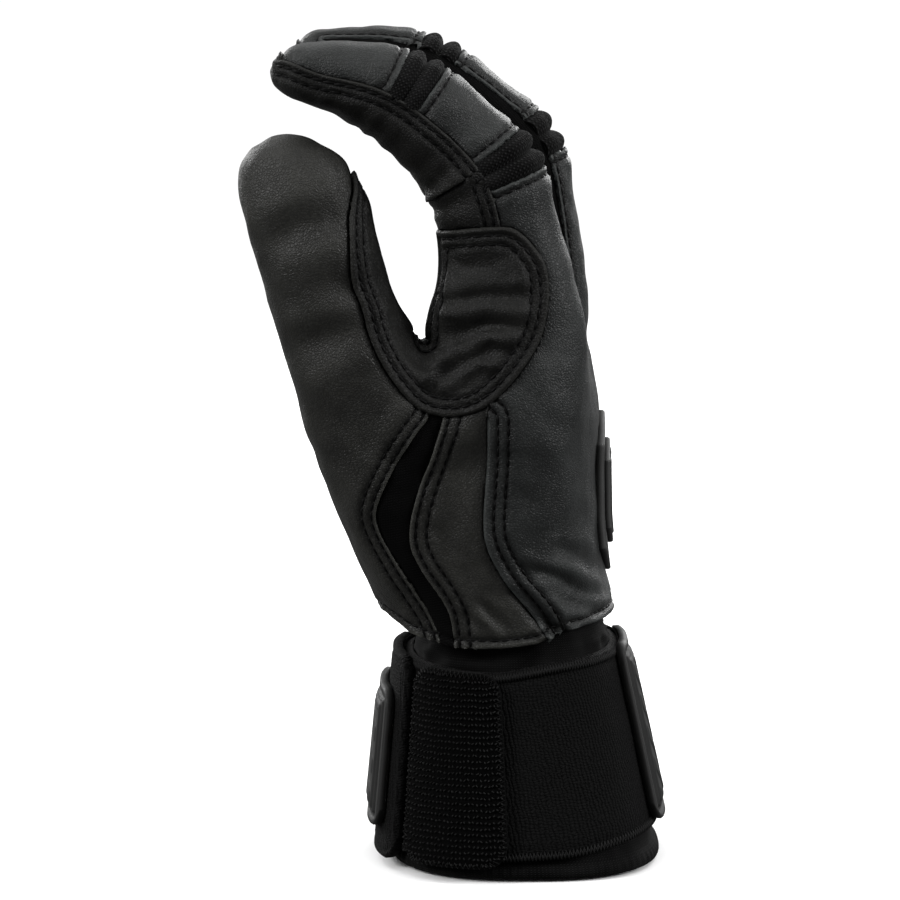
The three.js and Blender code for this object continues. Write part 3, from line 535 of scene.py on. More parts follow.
# %% Skin
skin_v, skin_t = with_modifiers(
    new_mesh("skin", raw_v, raw_f),
    ("SMOOTH", {"factor": 0.5, "iterations": 3}),
    ("SUBSURF", {"levels": 1, "render_levels": 1}))
print("skin:", len(skin_v), "points,", len(skin_t), "triangles")

# %% [markdown]
# ## Cutting along a line
# Leather is cut with a clean edge. A panel's edge is where a field is zero, and every
# triangle that the line crosses is split, so the edge is clean at any grid size. Blender's
# knife needs a view to cut through, and this works from the field alone.

# %% Cutter
SNAP = 0.07   # a point nearer to the line than this is put on it


def cut_mesh(v, t, q, f):
    """Points, triangles and point columns, split where f is zero."""
    f = np.where(np.abs(f) < SNAP, 0.0, f)
    sign = np.sign(f)
    s = sign[t]
    crossed = (s.min(1) < 0) & (s.max(1) > 0)
    keep, work = t[~crossed], t[crossed]
    if not len(work):
        return v, t, q
    edges = np.sort(np.concatenate([work[:, [0, 1]], work[:, [1, 2]], work[:, [2, 0]]]), 1)
    edges = np.unique(edges[sign[edges[:, 0]] * sign[edges[:, 1]] < 0], axis=0)
    a, b = edges.T
    k = (f[a] / (f[a] - f[b]))[:, None]
    where = {(i, j): len(v) + n for n, (i, j) in enumerate(edges.tolist())}
    out = []
    for tri in work.tolist():
        ring = []
        for i, j in ((tri[0], tri[1]), (tri[1], tri[2]), (tri[2], tri[0])):
            ring.append(i)
            m = where.get((min(i, j), max(i, j)))
            if m is not None:
                ring.append(m)
        for want in (1, -1):
            part = [n for n in ring if n >= len(v) or sign[n] * want >= 0]
            out += [(part[0], part[n], part[n + 1]) for n in range(1, len(part) - 1)]

    def with_new(x):
        return np.vstack([x, x[a] * (1 - k) + x[b] * k])

    return with_new(v), np.vstack([keep, np.array(out)]), with_new(q)


print("points within", SNAP, "mm of a cut are put on it")


# %% [markdown]
# ## Panels of the thumb side
# The crotch, gusset, side strip and thumb are drawn as outlines in the side view. Each gets
# a field that is positive inside it: the distance to its outline, kept to its own side of
# the hand.

# %% Thumb-side fields
def polygon_distance(poly, p):
    """Signed distance in the side view, positive inside."""
    x, z = p[:, 0], p[:, 2]
    best = np.full(len(p), 1e9)
    inside = np.zeros(len(p), bool)
    for a, b in zip(poly, np.roll(poly, -1, axis=0)):
        e = b - a
        k = np.clip(((x - a[0]) * e[0] + (z - a[1]) * e[1]) / max(e @ e, 1e-9), 0, 1)
        best = np.minimum(best, np.hypot(x - a[0] - k * e[0], z - a[1] - k * e[1]))
        spans = (a[1] > z) != (b[1] > z)
        inside ^= spans & (x < a[0] + (z - a[1]) * e[0] / (e[1] if e[1] else 1e-9))
    return np.where(inside, best, -best)


thumb_line, gusset_line, strip_line = [
    rounded(side(rows)) for rows in (THUMB_SEAM, GUSSET_SEAM, STRIP_SEAM)]
crotch_line = rounded(side(CROTCH))
air_line = side(AIR)
INDEX_SIDE, THUMB_SIDE = -35.6, -26   # y up to which a panel lies on the thumb side
THUMB_INNER = (-31, -16)   # y between which the thumb's inner face lies


def f_crotch(p):
    """The padded crotch: round on the index finger, and an arm that runs up the thumb."""
    whole = np.vstack([crotch_line, air_line, side([(-0.457, 1.36)])])
    start = np.argmin(np.hypot(*(crotch_line - side([(-0.43, 0.773)])[0]).T))
    arm = np.vstack([crotch_line[start:], air_line, side([(-0.44, 0.97)])])
    on_index = np.minimum(polygon_distance(whole, p), INDEX_SIDE - p[:, 1])
    return np.maximum(on_index, polygon_distance(arm, p))


def f_gusset(p):
    poly = np.vstack([thumb_line, gusset_line[::-1]])
    return np.minimum(polygon_distance(poly, p), THUMB_SIDE - p[:, 1])


def f_side_strip(p):
    poly = np.vstack([gusset_line, strip_line[::-1]])
    return np.minimum(polygon_distance(poly, p), THUMB_SIDE - p[:, 1])


def f_thumb(p):
    """The thumb leather: an outer face with the seam's outline, and a plainer inner face."""
    near = np.vstack([thumb_line, THUMB_TOP])
    far = np.vstack([[(-16, 38), (-16, 84), (-19, 94), (-22.5, 100)], THUMB_TOP])
    deep, shallow = THUMB_INNER
    a = np.minimum(polygon_distance(near, p), THUMB_SIDE - p[:, 1])
    between = np.minimum(shallow - p[:, 1], p[:, 1] - deep)
    b = np.minimum(polygon_distance(far, p), between)
    return np.maximum(a, b)


print("seam lines:", len(thumb_line), len(gusset_line), len(strip_line), "points")

# %% [markdown]
# ## Stretch strips between the fingers
# A narrow strip of knit runs up the sides of two neighbouring fingers and over the fork
# between them. On a bent finger an outline in one view would slip off, so the strip is
# drawn by station and by angle from the finger's back.

# %% Strip fields
# Station, and the angle where the leather of the finger's front begins
FRONT_ANGLE = np.array([(0.7, 104), (0.85, 82), (0.93, 52)])
STRIP_END = 0.93   # the station where a strip ends
FORK_HEIGHT, FORK_HALF = 18.5, 3.3   # the strip over the fork: its height, half its breadth


def station(name, q):
    """Station, angle from the back, distance and mean radius on a finger, from its columns."""
    s, back, across, dist, radius = q[:, COLUMNS * NAMES.index(name):][:, :COLUMNS].T
    return s, np.degrees(np.arctan2(across, back)), dist, radius


def owner_of(q):
    """Number of the finger that each point is nearest to."""
    return q[:, 3::COLUMNS].argmin(1)


def f_finger_strip(i, p, q):
    """The strip between finger i and the next one."""
    parts = []
    for name, sign in ((NAMES[i], 1), (NAMES[i + 1], -1)):
        s, angle, dist, radius = station(name, q)
        edge = FINGERS[name][9] if sign > 0 else -FINGERS[name][8]
        front = np.interp(s, FRONT_ANGLE[:, 0], FRONT_ANGLE[:, 1])
        across = np.minimum(sign * angle - edge, front - sign * angle) * np.radians(radius)
        along = np.minimum(s, STRIP_END - s) * digits[name].length
        parts.append(np.minimum(np.minimum(across, along), 3 - dist))
    a, b = digits[NAMES[i]], digits[NAMES[i + 1]]
    ca, cb = [np.array([np.interp(0, d.s, d.middle[:, k]) for k in range(3)]) for d in (a, b)]
    ta, tb = [np.interp(0, d.s, d.thick) for d in (a, b)]
    wa, wb = [np.interp(0, d.s, d.wide) for d in (a, b)]
    low = min(ca[2], cb[2]) - 4.5
    x0 = (ca[0] + cb[0]) / 2 - 0.25 * min(ta, tb)
    x1 = (ca[0] + cb[0]) / 2 + 0.745 * min(ta, tb)
    y = (ca[1] + wa + cb[1] - wb) / 2
    fork = np.minimum.reduce([
        p[:, 0] - x0, x1 - p[:, 0], FORK_HALF - np.abs(p[:, 1] - y),
        p[:, 2] - low, low + FORK_HEIGHT - p[:, 2]])
    return np.maximum(np.maximum(*parts), fork)


print("strips end at station", STRIP_END)

# %% [markdown]
# ## Back or palm
# One seam runs round the whole hand, and up and down each finger, with the back leather on
# one side of it and the palm leather on the other. It follows the side view on the hand and
# the angle round the finger above it, and one turns into the other over the knuckles.

# %% Back field
INNER_LIMIT = 75   # degrees from a finger's back to its side seam between the fingers
FAR_SIDE_X = -2.2   # the seam down the little-finger side


def f_back(p, q):
    """Positive on the back of the hand."""
    edge = np.interp(p[:, 2], strip_line[:, 1], strip_line[:, 0])
    out = np.where(p[:, 1] < 0, p[:, 0] - edge, p[:, 0] - FAR_SIDE_X)
    owner = owner_of(q)
    for i, name in enumerate(NAMES):
        s, angle, _, radius = station(name, q)
        limit = np.where(angle < 0, -FINGERS[name][8] if i == 0 else INNER_LIMIT,
                         FINGERS[name][9] if i == 3 else INNER_LIMIT)
        limit = np.where(limit > 80, limit - 22 * np.clip((s - 0.86) / 0.12, 0, 1)**2, limit)
        on_finger = (limit - np.abs(angle)) * np.radians(radius)
        blend = np.clip((s + 0.1) / 0.2, 0, 1)
        blend = blend * blend * (3 - 2 * blend)
        mine = owner == i
        out = np.where(mine, on_finger * blend + out * (1 - blend), out)
    return out


print("the back leather reaches", INNER_LIMIT, "degrees round a finger")

# %% [markdown]
# ## Cutting the skin
# The cuts run one after the other, as with scissors: the hem, the outlines of the thumb
# side, the strips, the long seam between back and palm, and the short cuts over a finger.

# %% Cuts
FRONT_CUT, TIP_CUT = 0.475, 0.985   # stations of the seams across a finger


def hem_field(p, q=None):
    """Height over the hem's slanting line."""
    line = side(HEM_LINE)
    return p[:, 2] - np.interp(p[:, 0], line[:, 0], line[:, 1])


def f_band(i, band, q):
    """Positive inside one knuckle band of finger i."""
    s, angle, _, radius = station(NAMES[i], q)
    (s0, s1), row = BANDS[band], FINGERS[NAMES[i]]
    across = np.minimum(angle - row[8], row[9] - angle) * np.radians(radius)
    along = np.minimum(s - s0, s1 - s) * digits[NAMES[i]].length
    return np.where(owner_of(q) == i, np.minimum(across, along), -5)


def f_cross(at, q):
    """How far past a station each point is on its own finger."""
    owner = owner_of(q)
    out = np.full(len(q), -9.0)
    for i, name in enumerate(NAMES):
        out = np.where(owner == i, (q[:, COLUMNS * i] - at) * digits[name].length, out)
    return out


v, t = skin_v, skin_t
q = np.hstack([digit.coords(v) for digit in digits.values()])
makers = [hem_field, lambda p, q: f_crotch(p), lambda p, q: f_gusset(p),
          lambda p, q: f_side_strip(p), lambda p, q: f_thumb(p)]
makers += [lambda p, q, i=i: f_finger_strip(i, p, q) for i in range(3)]
makers.append(f_back)
makers += [lambda p, q, i=i, b=b: f_band(i, b, q) for b in BANDS for i in range(4)]
makers += [lambda p, q, at=at: f_cross(at, q) for at in (FRONT_CUT, TIP_CUT)]
for make in makers:
    v, t, q = cut_mesh(v, t, q, make(v, q))
print("after", len(makers), "cuts:", len(v), "points")

# %% [markdown]
# ## Naming the panels
# Every triangle takes the name of the first panel field that its middle lies in, so panels
# never overlap and none is left without a name. What lies under the hem is left out.

# %% Panels
middle, middle_q = v[t].mean(1), q[t].mean(1)
label = np.full(len(t), "", dtype=object)
todo = hem_field(middle) > 0


def take(name, field):
    """Give a name to the triangles inside a field that have none yet."""
    hit = todo & (field > 0)
    label[hit] = name
    todo[hit] = False


take("thumb_crotch", f_crotch(middle))
take("stretch_gusset", f_gusset(middle))
take("side_strip", f_side_strip(middle))
take("thumb_leather", f_thumb(middle))
STRIPS = [f"{NAMES[i]}_{NAMES[i + 1]}_strip" for i in range(3)]
for i, name in enumerate(STRIPS):
    take(name, f_finger_strip(i, middle, middle_q))
on_back = f_back(middle, middle_q)
for i, name in enumerate(NAMES):
    mine = np.where(owner_of(middle_q) == i, 1.0, -1.0)
    s = middle_q[:, COLUMNS * i]
    for band, (s0, s1) in BANDS.items():
        take(f"{name}_{band}_band", np.minimum.reduce([mine, on_back, s - s0, s1 - s]))
    (_, pip_end), (dip_start, dip_end) = BANDS["pip"], BANDS["dip"]
    take(f"{name}_middle_back", np.minimum.reduce([mine, on_back, s - pip_end, dip_start - s]))
    take(f"{name}_distal_back", np.minimum.reduce([mine, on_back, s - dip_end, TIP_CUT - s]))
    take(f"{name}_front", np.minimum(mine, s - FRONT_CUT))
take("back_leather", on_back)
take("palm_leather", -on_back)
kinds, counts = np.unique(label.astype(str), return_counts=True)
print({k: int(n) for k, n in zip(kinds, counts)})

# %% [markdown]
# ## Edges between panels
# A seam is where two panels meet. Each edge that has one panel on its left and another on
# its right is kept, with the names of both.

# %% Seam edges
ids = {name: i for i, name in enumerate(sorted(set(label)))}
tri_id = np.array([ids[name] for name in label])
normals = point_normals(v, t)


def shared_edges(t):
    """Every inner edge once, with the two triangles beside it."""
    edges = np.sort(np.concatenate([t[:, [0, 1]], t[:, [1, 2]], t[:, [2, 0]]]), 1)
    tri = np.tile(np.arange(len(t)), 3)
    order = np.lexsort((edges[:, 1], edges[:, 0]))
    edges, tri = edges[order], tri[order]
    same = (edges[1:] == edges[:-1]).all(1)
    return edges[:-1][same], tri[:-1][same], tri[1:][same]


edge_v, edge_a, edge_b = shared_edges(t)
split = tri_id[edge_a] != tri_id[edge_b]
seam_v, seam_a, seam_b = edge_v[split], tri_id[edge_a[split]], tri_id[edge_b[split]]
print("seam edges:", len(seam_v))

# %% [markdown]
# ## Which panel lies on top
# Two panels are sewn with one lapped over the other. A row says which panels lie on top,
# which lie under, how far the top one is lifted, and how far from its edge the stitches
# run. A fold without stitches has no such distance.

# %% Seam table
BACKS = ["back_leather"] + [f"{n}_{part}_back" for n in NAMES for part in ("middle", "distal")]
FRONTS = [f"{n}_front" for n in NAMES]
KNITS = [f"{n}_{band}_band" for n in NAMES for band in BANDS]
LEATHERS = BACKS + FRONTS + ["palm_leather", "thumb_leather", "thumb_crotch", "side_strip"]
INDEX_BACK = ["back_leather", "index_middle_back", "index_distal_back"]
TIPS = [f"{n}_distal_back" for n in NAMES]
PALM_LEATHER = FRONTS + ["palm_leather", "thumb_crotch"]
STRETCHY = STRIPS + ["stretch_gusset"]
SEAMS = [
    # top panels, under panels, lift, stitch rows, and -1 or 1 where it is on one side only
    (["thumb_leather"], ["stretch_gusset"], 0.6, (1.1, 3.2)),
    (["side_strip"], ["stretch_gusset"], 0.6, (1.3, 3.6)),
    (["back_leather"], ["side_strip"], 0.75, (2.2, 4.4)),
    (["thumb_crotch"], ["thumb_leather", "side_strip", "stretch_gusset", "palm_leather"]
     + INDEX_BACK + ["index_front"], 0.75, (1.8, 3.7)),
    (["index_front"], INDEX_BACK + ["index_pip_band", "index_dip_band"], 0.7, (1.2, 3.1)),
    (BACKS, KNITS, 0.5, (1.6,)),
    (BACKS + FRONTS + ["palm_leather"], STRIPS, 0.35, (1.3,)),
    (LEATHERS + ["stretch_gusset"], [""], 0.4, (1.7,)),
    (["palm_leather"], ["thumb_leather"], 0.4, (1.4,)),
    (FRONTS, ["palm_leather"], 0.3, ()),
    (["palm_leather"], ["back_leather"], 0.7, (1.2, 3.1), -1),
    (FRONTS, TIPS, 0.35, (1.4,)),
    (["back_leather", "little_middle_back", "little_distal_back"],
     ["palm_leather", "little_front"], 0.4, (1.4,), 1),
]
print("kinds of seam:", len(SEAMS))

# %% [markdown]
# ## How far a point is from a seam
# Hems, stitches and wear all depend on the distance to the nearest seam. Points are strewn
# along the seam edges, and Blender's own search tree finds the nearest one quickly.


# %% Seam distances
def spread_points(edges, n=3):
    """n points along every edge."""
    a, b = v[edges[:, 0]], v[edges[:, 1]]
    return np.concatenate([a + (b - a) * k / n for k in range(n)])


def seam_points(tops, unders, half=0):
    """Points of the seams between two groups of panels, on one side or on both."""
    a, b = [np.array([ids[n] for n in names if n in ids]) for names in (tops, unders)]
    hit = (np.isin(seam_a, a) & np.isin(seam_b, b)) | (np.isin(seam_b, a) & np.isin(seam_a, b))
    points = spread_points(seam_v[hit])
    return points[points[:, 1] * half >= 0]


def tree_of(points):
    tree = KDTree(max(1, len(points)))
    for i, p in enumerate(points):
        tree.insert(p, i)
    tree.balance()
    return tree


def distances(points, queries, far=60.0):
    """Distance from each query to the nearest point, or far where there is none."""
    if not len(points):
        return np.full(len(queries), far)
    tree = tree_of(points)
    return np.array([tree.find(p)[2] for p in queries])


on_knits = seam_points(BACKS, KNITS)
print("points on the seams of the knit bands:", len(on_knits))

# %% [markdown]
# ## Folds and creases
# Leather buckles where the hand bends. Each crease is a line on the skin with a width and
# a depth. Cloth simulation would find creases too, but not these ones, so their lines are
# drawn in the tables.

# %% Crease tables
CREASES = [
    # x and z of both ends in the side view, side (-1 thumb side, 1 little side), width, depth
    (1, 67, 18, 58, -1, 1.4, 1.3), (5, 62, 19, 54, -1, 1.2, 1.1), (-2, 62, 8, 53, -1, 1.3, 0.9),
    (8, 71, 19, 63, -1, 1.3, 1.0), (1, 57, 10, 51, -1, 1.1, 0.8), (-10, 60, -3, 53, -1, 1.2, 0.8),
    (12, 78, 18, 68, -1, 1.8, 0.5), (-12, 57, -7, 51, -1, 1.3, 0.4),
    (-21, 84, -30, 93, -1, 2.6, 0.5), (-33, 126, -41, 129, -1, 2.4, 0.5),
    (-34, 119, -52, 112, -1, 3.2, 1.0), (-36, 143, -57, 136, -1, 3.2, 0.9),
    (4, 100, 14, 92, -1, 2.4, 0.4), (3, 60, 16, 66, 1, 2.4, 0.6), (1, 84, 15, 80, 1, 2.4, 0.4),
    (-20, 70, -4, 62, 1, 2.2, 0.6), (-21, 88, -6, 82, 1, 2.4, 0.5), (-18, 100, -4, 98, 1, 2.2, 0.5),
]
PALM_CREASES = [
    # y and z of three points on the palm, width, depth
    (-22, 112, -2, 104, 22, 106, 2.2, 1.1), (-26, 98, -4, 92, 30, 96, 2.4, 1.0),
    (-12, 92, -16, 74, -10, 56, 2.4, 1.0), (14, 92, 16, 74, 12, 60, 2.0, 0.5),
]
FINGER_CREASES = [
    # station, width, depth, on the front of each finger
    (0.08, 2.2, 0.5), (0.13, 2.0, 0.3), (0.43, 2.0, 0.4), (0.52, 2.0, 0.5), (0.57, 1.8, 0.3),
    (0.66, 1.8, 0.3), (0.71, 2.0, 0.45), (0.77, 1.6, 0.22), (0.85, 1.6, 0.15),
]
SADDLE_FOLDS = [
    # x and z along the crest of each fold in the side view, then width and height
    ((-17, 126.0), (-7, 127.6), (2, 128.2), 2.9, 1.5),
    ((-19, 120.3), (-8, 122.4), (3, 121.4), 2.6, 2.2),
    ((-20.5, 107.5), (-14.5, 113.0), (-6.8, 116.2), (3, 115.2), 2.0, 2.1),
    ((-17.2, 106.0), (-9, 110.8), (0, 110.3), 1.6, 1.3),
    ((-14, 102.3), (-6, 105.8), (1, 105.0), 1.5, 0.9),
]
print("creases:", len(CREASES), "on the sides,", len(PALM_CREASES), "across the palm")

# %% [markdown]
# ## Smooth noise
# Nothing on soft leather is straight or even. The noise is a lattice of random numbers with
# soft steps between them, and bends creases, puckers hems and lifts the skin a little.

# %% Noise
CELLS = 24   # the noise repeats after this many cells
LATTICE = rng.random((CELLS, CELLS, CELLS))


def noise(p, size, shift=0.0):
    """Smooth noise from -1 to 1 with features of a given size."""
    g = p / size + shift
    base = np.floor(g).astype(int)
    f = g - base
    f = f * f * (3 - 2 * f)
    out = 0.0
    for i in (0, 1):
        for j in (0, 1):
            for k in (0, 1):
                cell = (base + (i, j, k)) % CELLS
                weight = np.abs([1 - i - f[:, 0], 1 - j - f[:, 1], 1 - k - f[:, 2]]).prod(0)
                out = out + weight * LATTICE[tuple(cell.T)]
    return 2 * out - 1


print("noise lattice:", LATTICE.shape)

# %% [markdown]
# ## Pressing the creases in
# A crease is a groove with a soft puff beside it, and it fades at both ends. Creases of the
# side lie where the skin faces that side, and those of a finger only on its front.


# %% Creases
def to_segment(p, a, b):
    """Distance to a segment and the share along it."""
    a, b = np.array(a, float), np.array(b, float)
    e = b - a
    k = np.clip(((p - a) @ e) / (e @ e), 0, 1)
    return np.linalg.norm(p - a - k[:, None] * e, axis=1), k


def crease(d, width, depth):
    """Height of a groove with its puff, at a distance from its line."""
    return -depth * np.exp(-(d / width)**2) + 0.45 * depth * np.exp(-((d - 2 * width) / width)**2)


def taper(k):
    """Full in the middle of a line, nothing at its ends."""
    return np.sin(np.pi * np.clip(k, 0, 1)) ** 0.6


def creases(p, q, n):
    """Height of all creases together at each point."""
    h = np.zeros(len(p))
    bent = p + np.stack([noise(p, 9.0, s) for s in (0.0, 5.3, 9.1)], 1) * 1.1
    for x0, z0, x1, z1, where, width, depth in CREASES:
        d, k = to_segment(bent[:, ::2], (x0, z0), (x1, z1))
        facing = np.clip(n[:, 1] * where * 1.6, 0, 1)
        h += crease(d, width, depth) * facing * taper(k * 0.9 + 0.05)
    for y0, z0, y1, z1, y2, z2, width, depth in PALM_CREASES:
        d = np.minimum(to_segment(bent[:, 1:], (y0, z0), (y1, z1))[0],
                       to_segment(bent[:, 1:], (y1, z1), (y2, z2))[0])
        h += crease(d, width, depth) * np.clip(-n[:, 0] * 1.6 - 0.2, 0, 1)
    owner = owner_of(q)
    for i, name in enumerate(NAMES):
        s, angle, dist, _ = station(name, q)
        mine = (owner == i) & (dist < 1.5)
        front = np.clip((np.abs(angle) - 82) / 40, 0, 1)
        for at, width, depth in FINGER_CREASES:
            wave = noise(p, 6.0, i + at) * 0.8
            d = np.abs((s - at) * digits[name].length + wave)
            h += np.where(mine, crease(d, width, depth) * front, 0)
    return h


print("creases on each finger:", len(FINGER_CREASES))

# %% [markdown]
# ## The padded crotch
# The crotch between thumb and index finger is padded and folds like a squeezed cushion. Its
# folds are crests along drawn lines, with the leather sunk a little between them.


# %% Crotch folds
def ramp(x, low, high):
    """A soft step from 0 at low to 1 at high."""
    k = np.clip((x - low) / (high - low), 0, 1)
    return k * k * (3 - 2 * k)


PAD_SINK = 0.6


def saddle_puffs(p, n):
    """Soft folds of the padded crotch, and fine wrinkles across them."""
    h = np.full(len(p), -PAD_SINK)
    for *line, width, height in SADDLE_FOLDS:
        d = np.min([to_segment(p[:, ::2], a, b)[0] for a, b in zip(line, line[1:])], 0)
        d = d + 0.7 * noise(p, 4.0, 8.8)
        h = np.maximum(h, height * np.exp(-(d / width)**2) - PAD_SINK)
    flat = p * np.array([0.7, 1.0, 1.7])
    return (h + 0.22 * noise(flat, 2.6, 6.3)) * ramp(-n[:, 1], 0.1, 0.5)


def rolled_edge(p, n):
    """The crotch bulges into the gap between thumb and index finger."""
    near = np.exp(-((p[:, 2] - 119) / 6.5)**2 - ((p[:, 0] + 19) / 4)**2)
    return 1.7 * near * ramp(-n[:, 0], 0.2, 0.8) * (p[:, 1] < -12)


print("folds of the crotch:", len(SADDLE_FOLDS))

# %% [markdown]
# ## Relief of a panel
# A panel rises where it laps over its neighbour and sinks where it runs under one. Stitch
# rows press into it, and the leather puckers a little behind them. The relief moves the
# points themselves, so that it shows in the outline too, which a bump map wouldn't.

# %% Relief
EDGE_ROUND, LAP = 0.8, 6.5   # radius of a lap's edge, and how far the lift takes to run out
GROOVE, GROOVE_WIDTH = 0.65, 0.62   # how deep and wide a stitch row is pressed in


def relief(name, p, q, n, tops, unders):
    """Height, edge wear with painted highlight, and painted shade for the points of one panel."""
    lift = np.zeros(len(p))
    groove = np.zeros(len(p))
    wear_and_highlight = np.zeros(len(p))
    painted_shade = np.zeros(len(p))
    for d, height, rows in tops:
        last = rows[-1] if rows else 0.6
        round_edge = np.sqrt(np.clip(1 - (1 - np.clip(d / EDGE_ROUND, 0, 1))**2, 0.12, 1))
        lift = np.maximum(lift, height * round_edge * (1 - ramp(d, last, last + LAP)))
        for row in rows:
            pressed = np.exp(-((d - row) / GROOVE_WIDTH)**2)
            groove = np.minimum(groove, -GROOVE * pressed)
            # painted shade: the stitch groove is darkened in the colour
            painted_shade = np.maximum(painted_shade, pressed)
        # lapped edges come out lighter: partly rubbed wear, partly a painted highlight
        wear_and_highlight = np.maximum(wear_and_highlight, np.exp(-(d / 0.55)**2) * (0.3 + 0.7 * bool(rows)))
        pucker = np.exp(-((d - last - 1.6) / 1.8)**2)
        lift += 0.16 * pucker * noise(p, 2.7, 3.3)
    sink = np.zeros(len(p))
    for d in unders:
        sink = np.minimum(sink, -0.4 * np.exp(-d / 1.5))
        # painted shade: the panel under a lap is darkened beside the lapped edge
        painted_shade = np.maximum(painted_shade, np.exp(-d / 0.8))
    h = lift + groove + sink
    if name in STRETCHY:
        return h + 0.22 * noise(p, 5.0, 1.7), wear_and_highlight, painted_shade
    folds = creases(p, q, n)
    soft = 0.4 * noise(p, 11.0, 2.2) + 0.18 * noise(p, 4.5, 7.7)
    long_way = p * np.array([1.0, 1.0, 0.45])
    soft += 0.13 * noise(long_way, 2.6, 4.4)
    h += folds + soft + rolled_edge(p, n)
    if name == "thumb_crotch":
        edge = np.min([d for d, _, _ in tops], 0) if tops else np.full(len(p), 9.0)
        h += saddle_puffs(p, n) * ramp(edge, 2.2, 6.0)
    # raised fold crests are lightened too: partly wear, partly a painted highlight
    return h, np.clip(wear_and_highlight + np.clip(folds + soft, 0, 1) * 0.5, 0, 1), painted_shade


print("a stitch row is", GROOVE, "mm deep")

# %% [markdown]
# ## Stitch lines
# A stitch row runs at a fixed distance from its seam. Where it crosses a triangle it leaves
# a short piece of line, and the pieces are chained up end to end.

# %% Stitch lines
SHORTEST = 3   # a chain needs more points than this


def level_lines(points, tris, n, d, at):
    """Chains of points and normals where d equals a value."""
    s = d - at
    s = np.where(s == 0, 1e-6, s)
    sign = s[tris] > 0
    crossed = sign.any(1) & ~sign.all(1)
    ends = {}
    links = {}
    for a, b, c in tris[crossed].tolist():
        pair = []
        for i, j in ((a, b), (b, c), (c, a)):
            if (s[i] > 0) != (s[j] > 0):
                key = (min(i, j), max(i, j))
                if key not in ends:
                    k = s[key[0]] / (s[key[0]] - s[key[1]])
                    ends[key] = (points[key[0]] * (1 - k) + points[key[1]] * k,
                                 n[key[0]] * (1 - k) + n[key[1]] * k)
                pair.append(key)
        if len(pair) == 2:
            links.setdefault(pair[0], []).append(pair[1])
            links.setdefault(pair[1], []).append(pair[0])
    chains = []
    seen = set()
    starts = [k for k in links if len(links[k]) == 1] + list(links)
    for start in starts:
        if start in seen:
            continue
        chain, at_key = [], start
        while at_key is not None:
            seen.add(at_key)
            chain.append(ends[at_key])
            at_key = next((k for k in links[at_key] if k not in seen), None)
        if len(chain) > SHORTEST:
            chains.append((np.array([c[0] for c in chain]), np.array([c[1] for c in chain])))
    return chains


print("a stitch line has more than", SHORTEST, "points")

# %% [markdown]
# ## Stitches
# Each stitch is a small capsule of thread whose ends dip into the leather. Dots in a
# texture would be flat in close views, and here the thread catches the light.


# %% Stitches
def capsule(sides=6):
    """A unit stitch along x: thin at its ends, which dip into the leather."""
    rows = [(-0.5, 0.35, -0.55), (-0.38, 0.85, -0.1), (-0.12, 1.0, 0.22), (0.12, 1.0, 0.22),
            (0.38, 0.85, -0.1), (0.5, 0.35, -0.55)]
    points = [(x, r * math.cos(a), r * math.sin(a) + z) for x, r, z in rows
              for a in np.arange(sides) * 2 * math.pi / sides]
    faces = [(i * sides + k, i * sides + (k + 1) % sides, (i + 1) * sides + (k + 1) % sides,
              (i + 1) * sides + k) for i in range(len(rows) - 1) for k in range(sides)]
    faces.append(tuple(range(sides - 1, -1, -1)))
    faces.append(tuple(range((len(rows) - 1) * sides, len(rows) * sides)))
    return np.array(points), faces


STITCH, STITCH_FACES = capsule()


def sew(chains, pitch=2.35, length=2.0, radius=0.3):
    """Points and faces of one capsule for each stitch along the chains."""
    verts, faces = [], []
    for line, n in chains:
        gap = np.linalg.norm(np.diff(line, axis=0), axis=1)
        run = np.concatenate([[0], np.cumsum(gap)])
        if run[-1] < 2 * pitch:
            continue
        count = max(2, int(round(run[-1] / pitch)))
        for i in range(count):
            ends = (i + 0.5) / count * run[-1] + np.array([-0.5, 0.5]) * length
            ends = np.clip(ends, 0, run[-1])
            a, b = [np.array([np.interp(e, run, line[:, k]) for k in range(3)]) for e in ends]
            up = np.array([np.interp(ends.mean(), run, n[:, k]) for k in range(3)])
            x = b - a
            size = np.linalg.norm(x)
            if size < 0.5 * length:
                continue
            x /= size
            up -= x * (up @ x)
            up /= np.linalg.norm(up)
            side_way = np.cross(up, x)
            base = len(verts) * len(STITCH)
            local = STITCH * (size * 1.04, radius, radius * 0.8)
            verts.append((a + b) / 2 + local[:, :1] * x + local[:, 1:2] * side_way
                         + local[:, 2:] * up + up * 0.05)
            faces += [tuple(base + k for k in f) for f in STITCH_FACES]
    return np.concatenate(verts), faces


print("faces of one stitch:", len(STITCH_FACES))

# %% [markdown]
# ## Materials
# Every look is a small net of nodes. Clicking nodes together is the usual way, but the same
# few steps come back in each material, so a helper adds and links them. What is the same
# all over a surface, such as its sheen, is set on the shader itself.


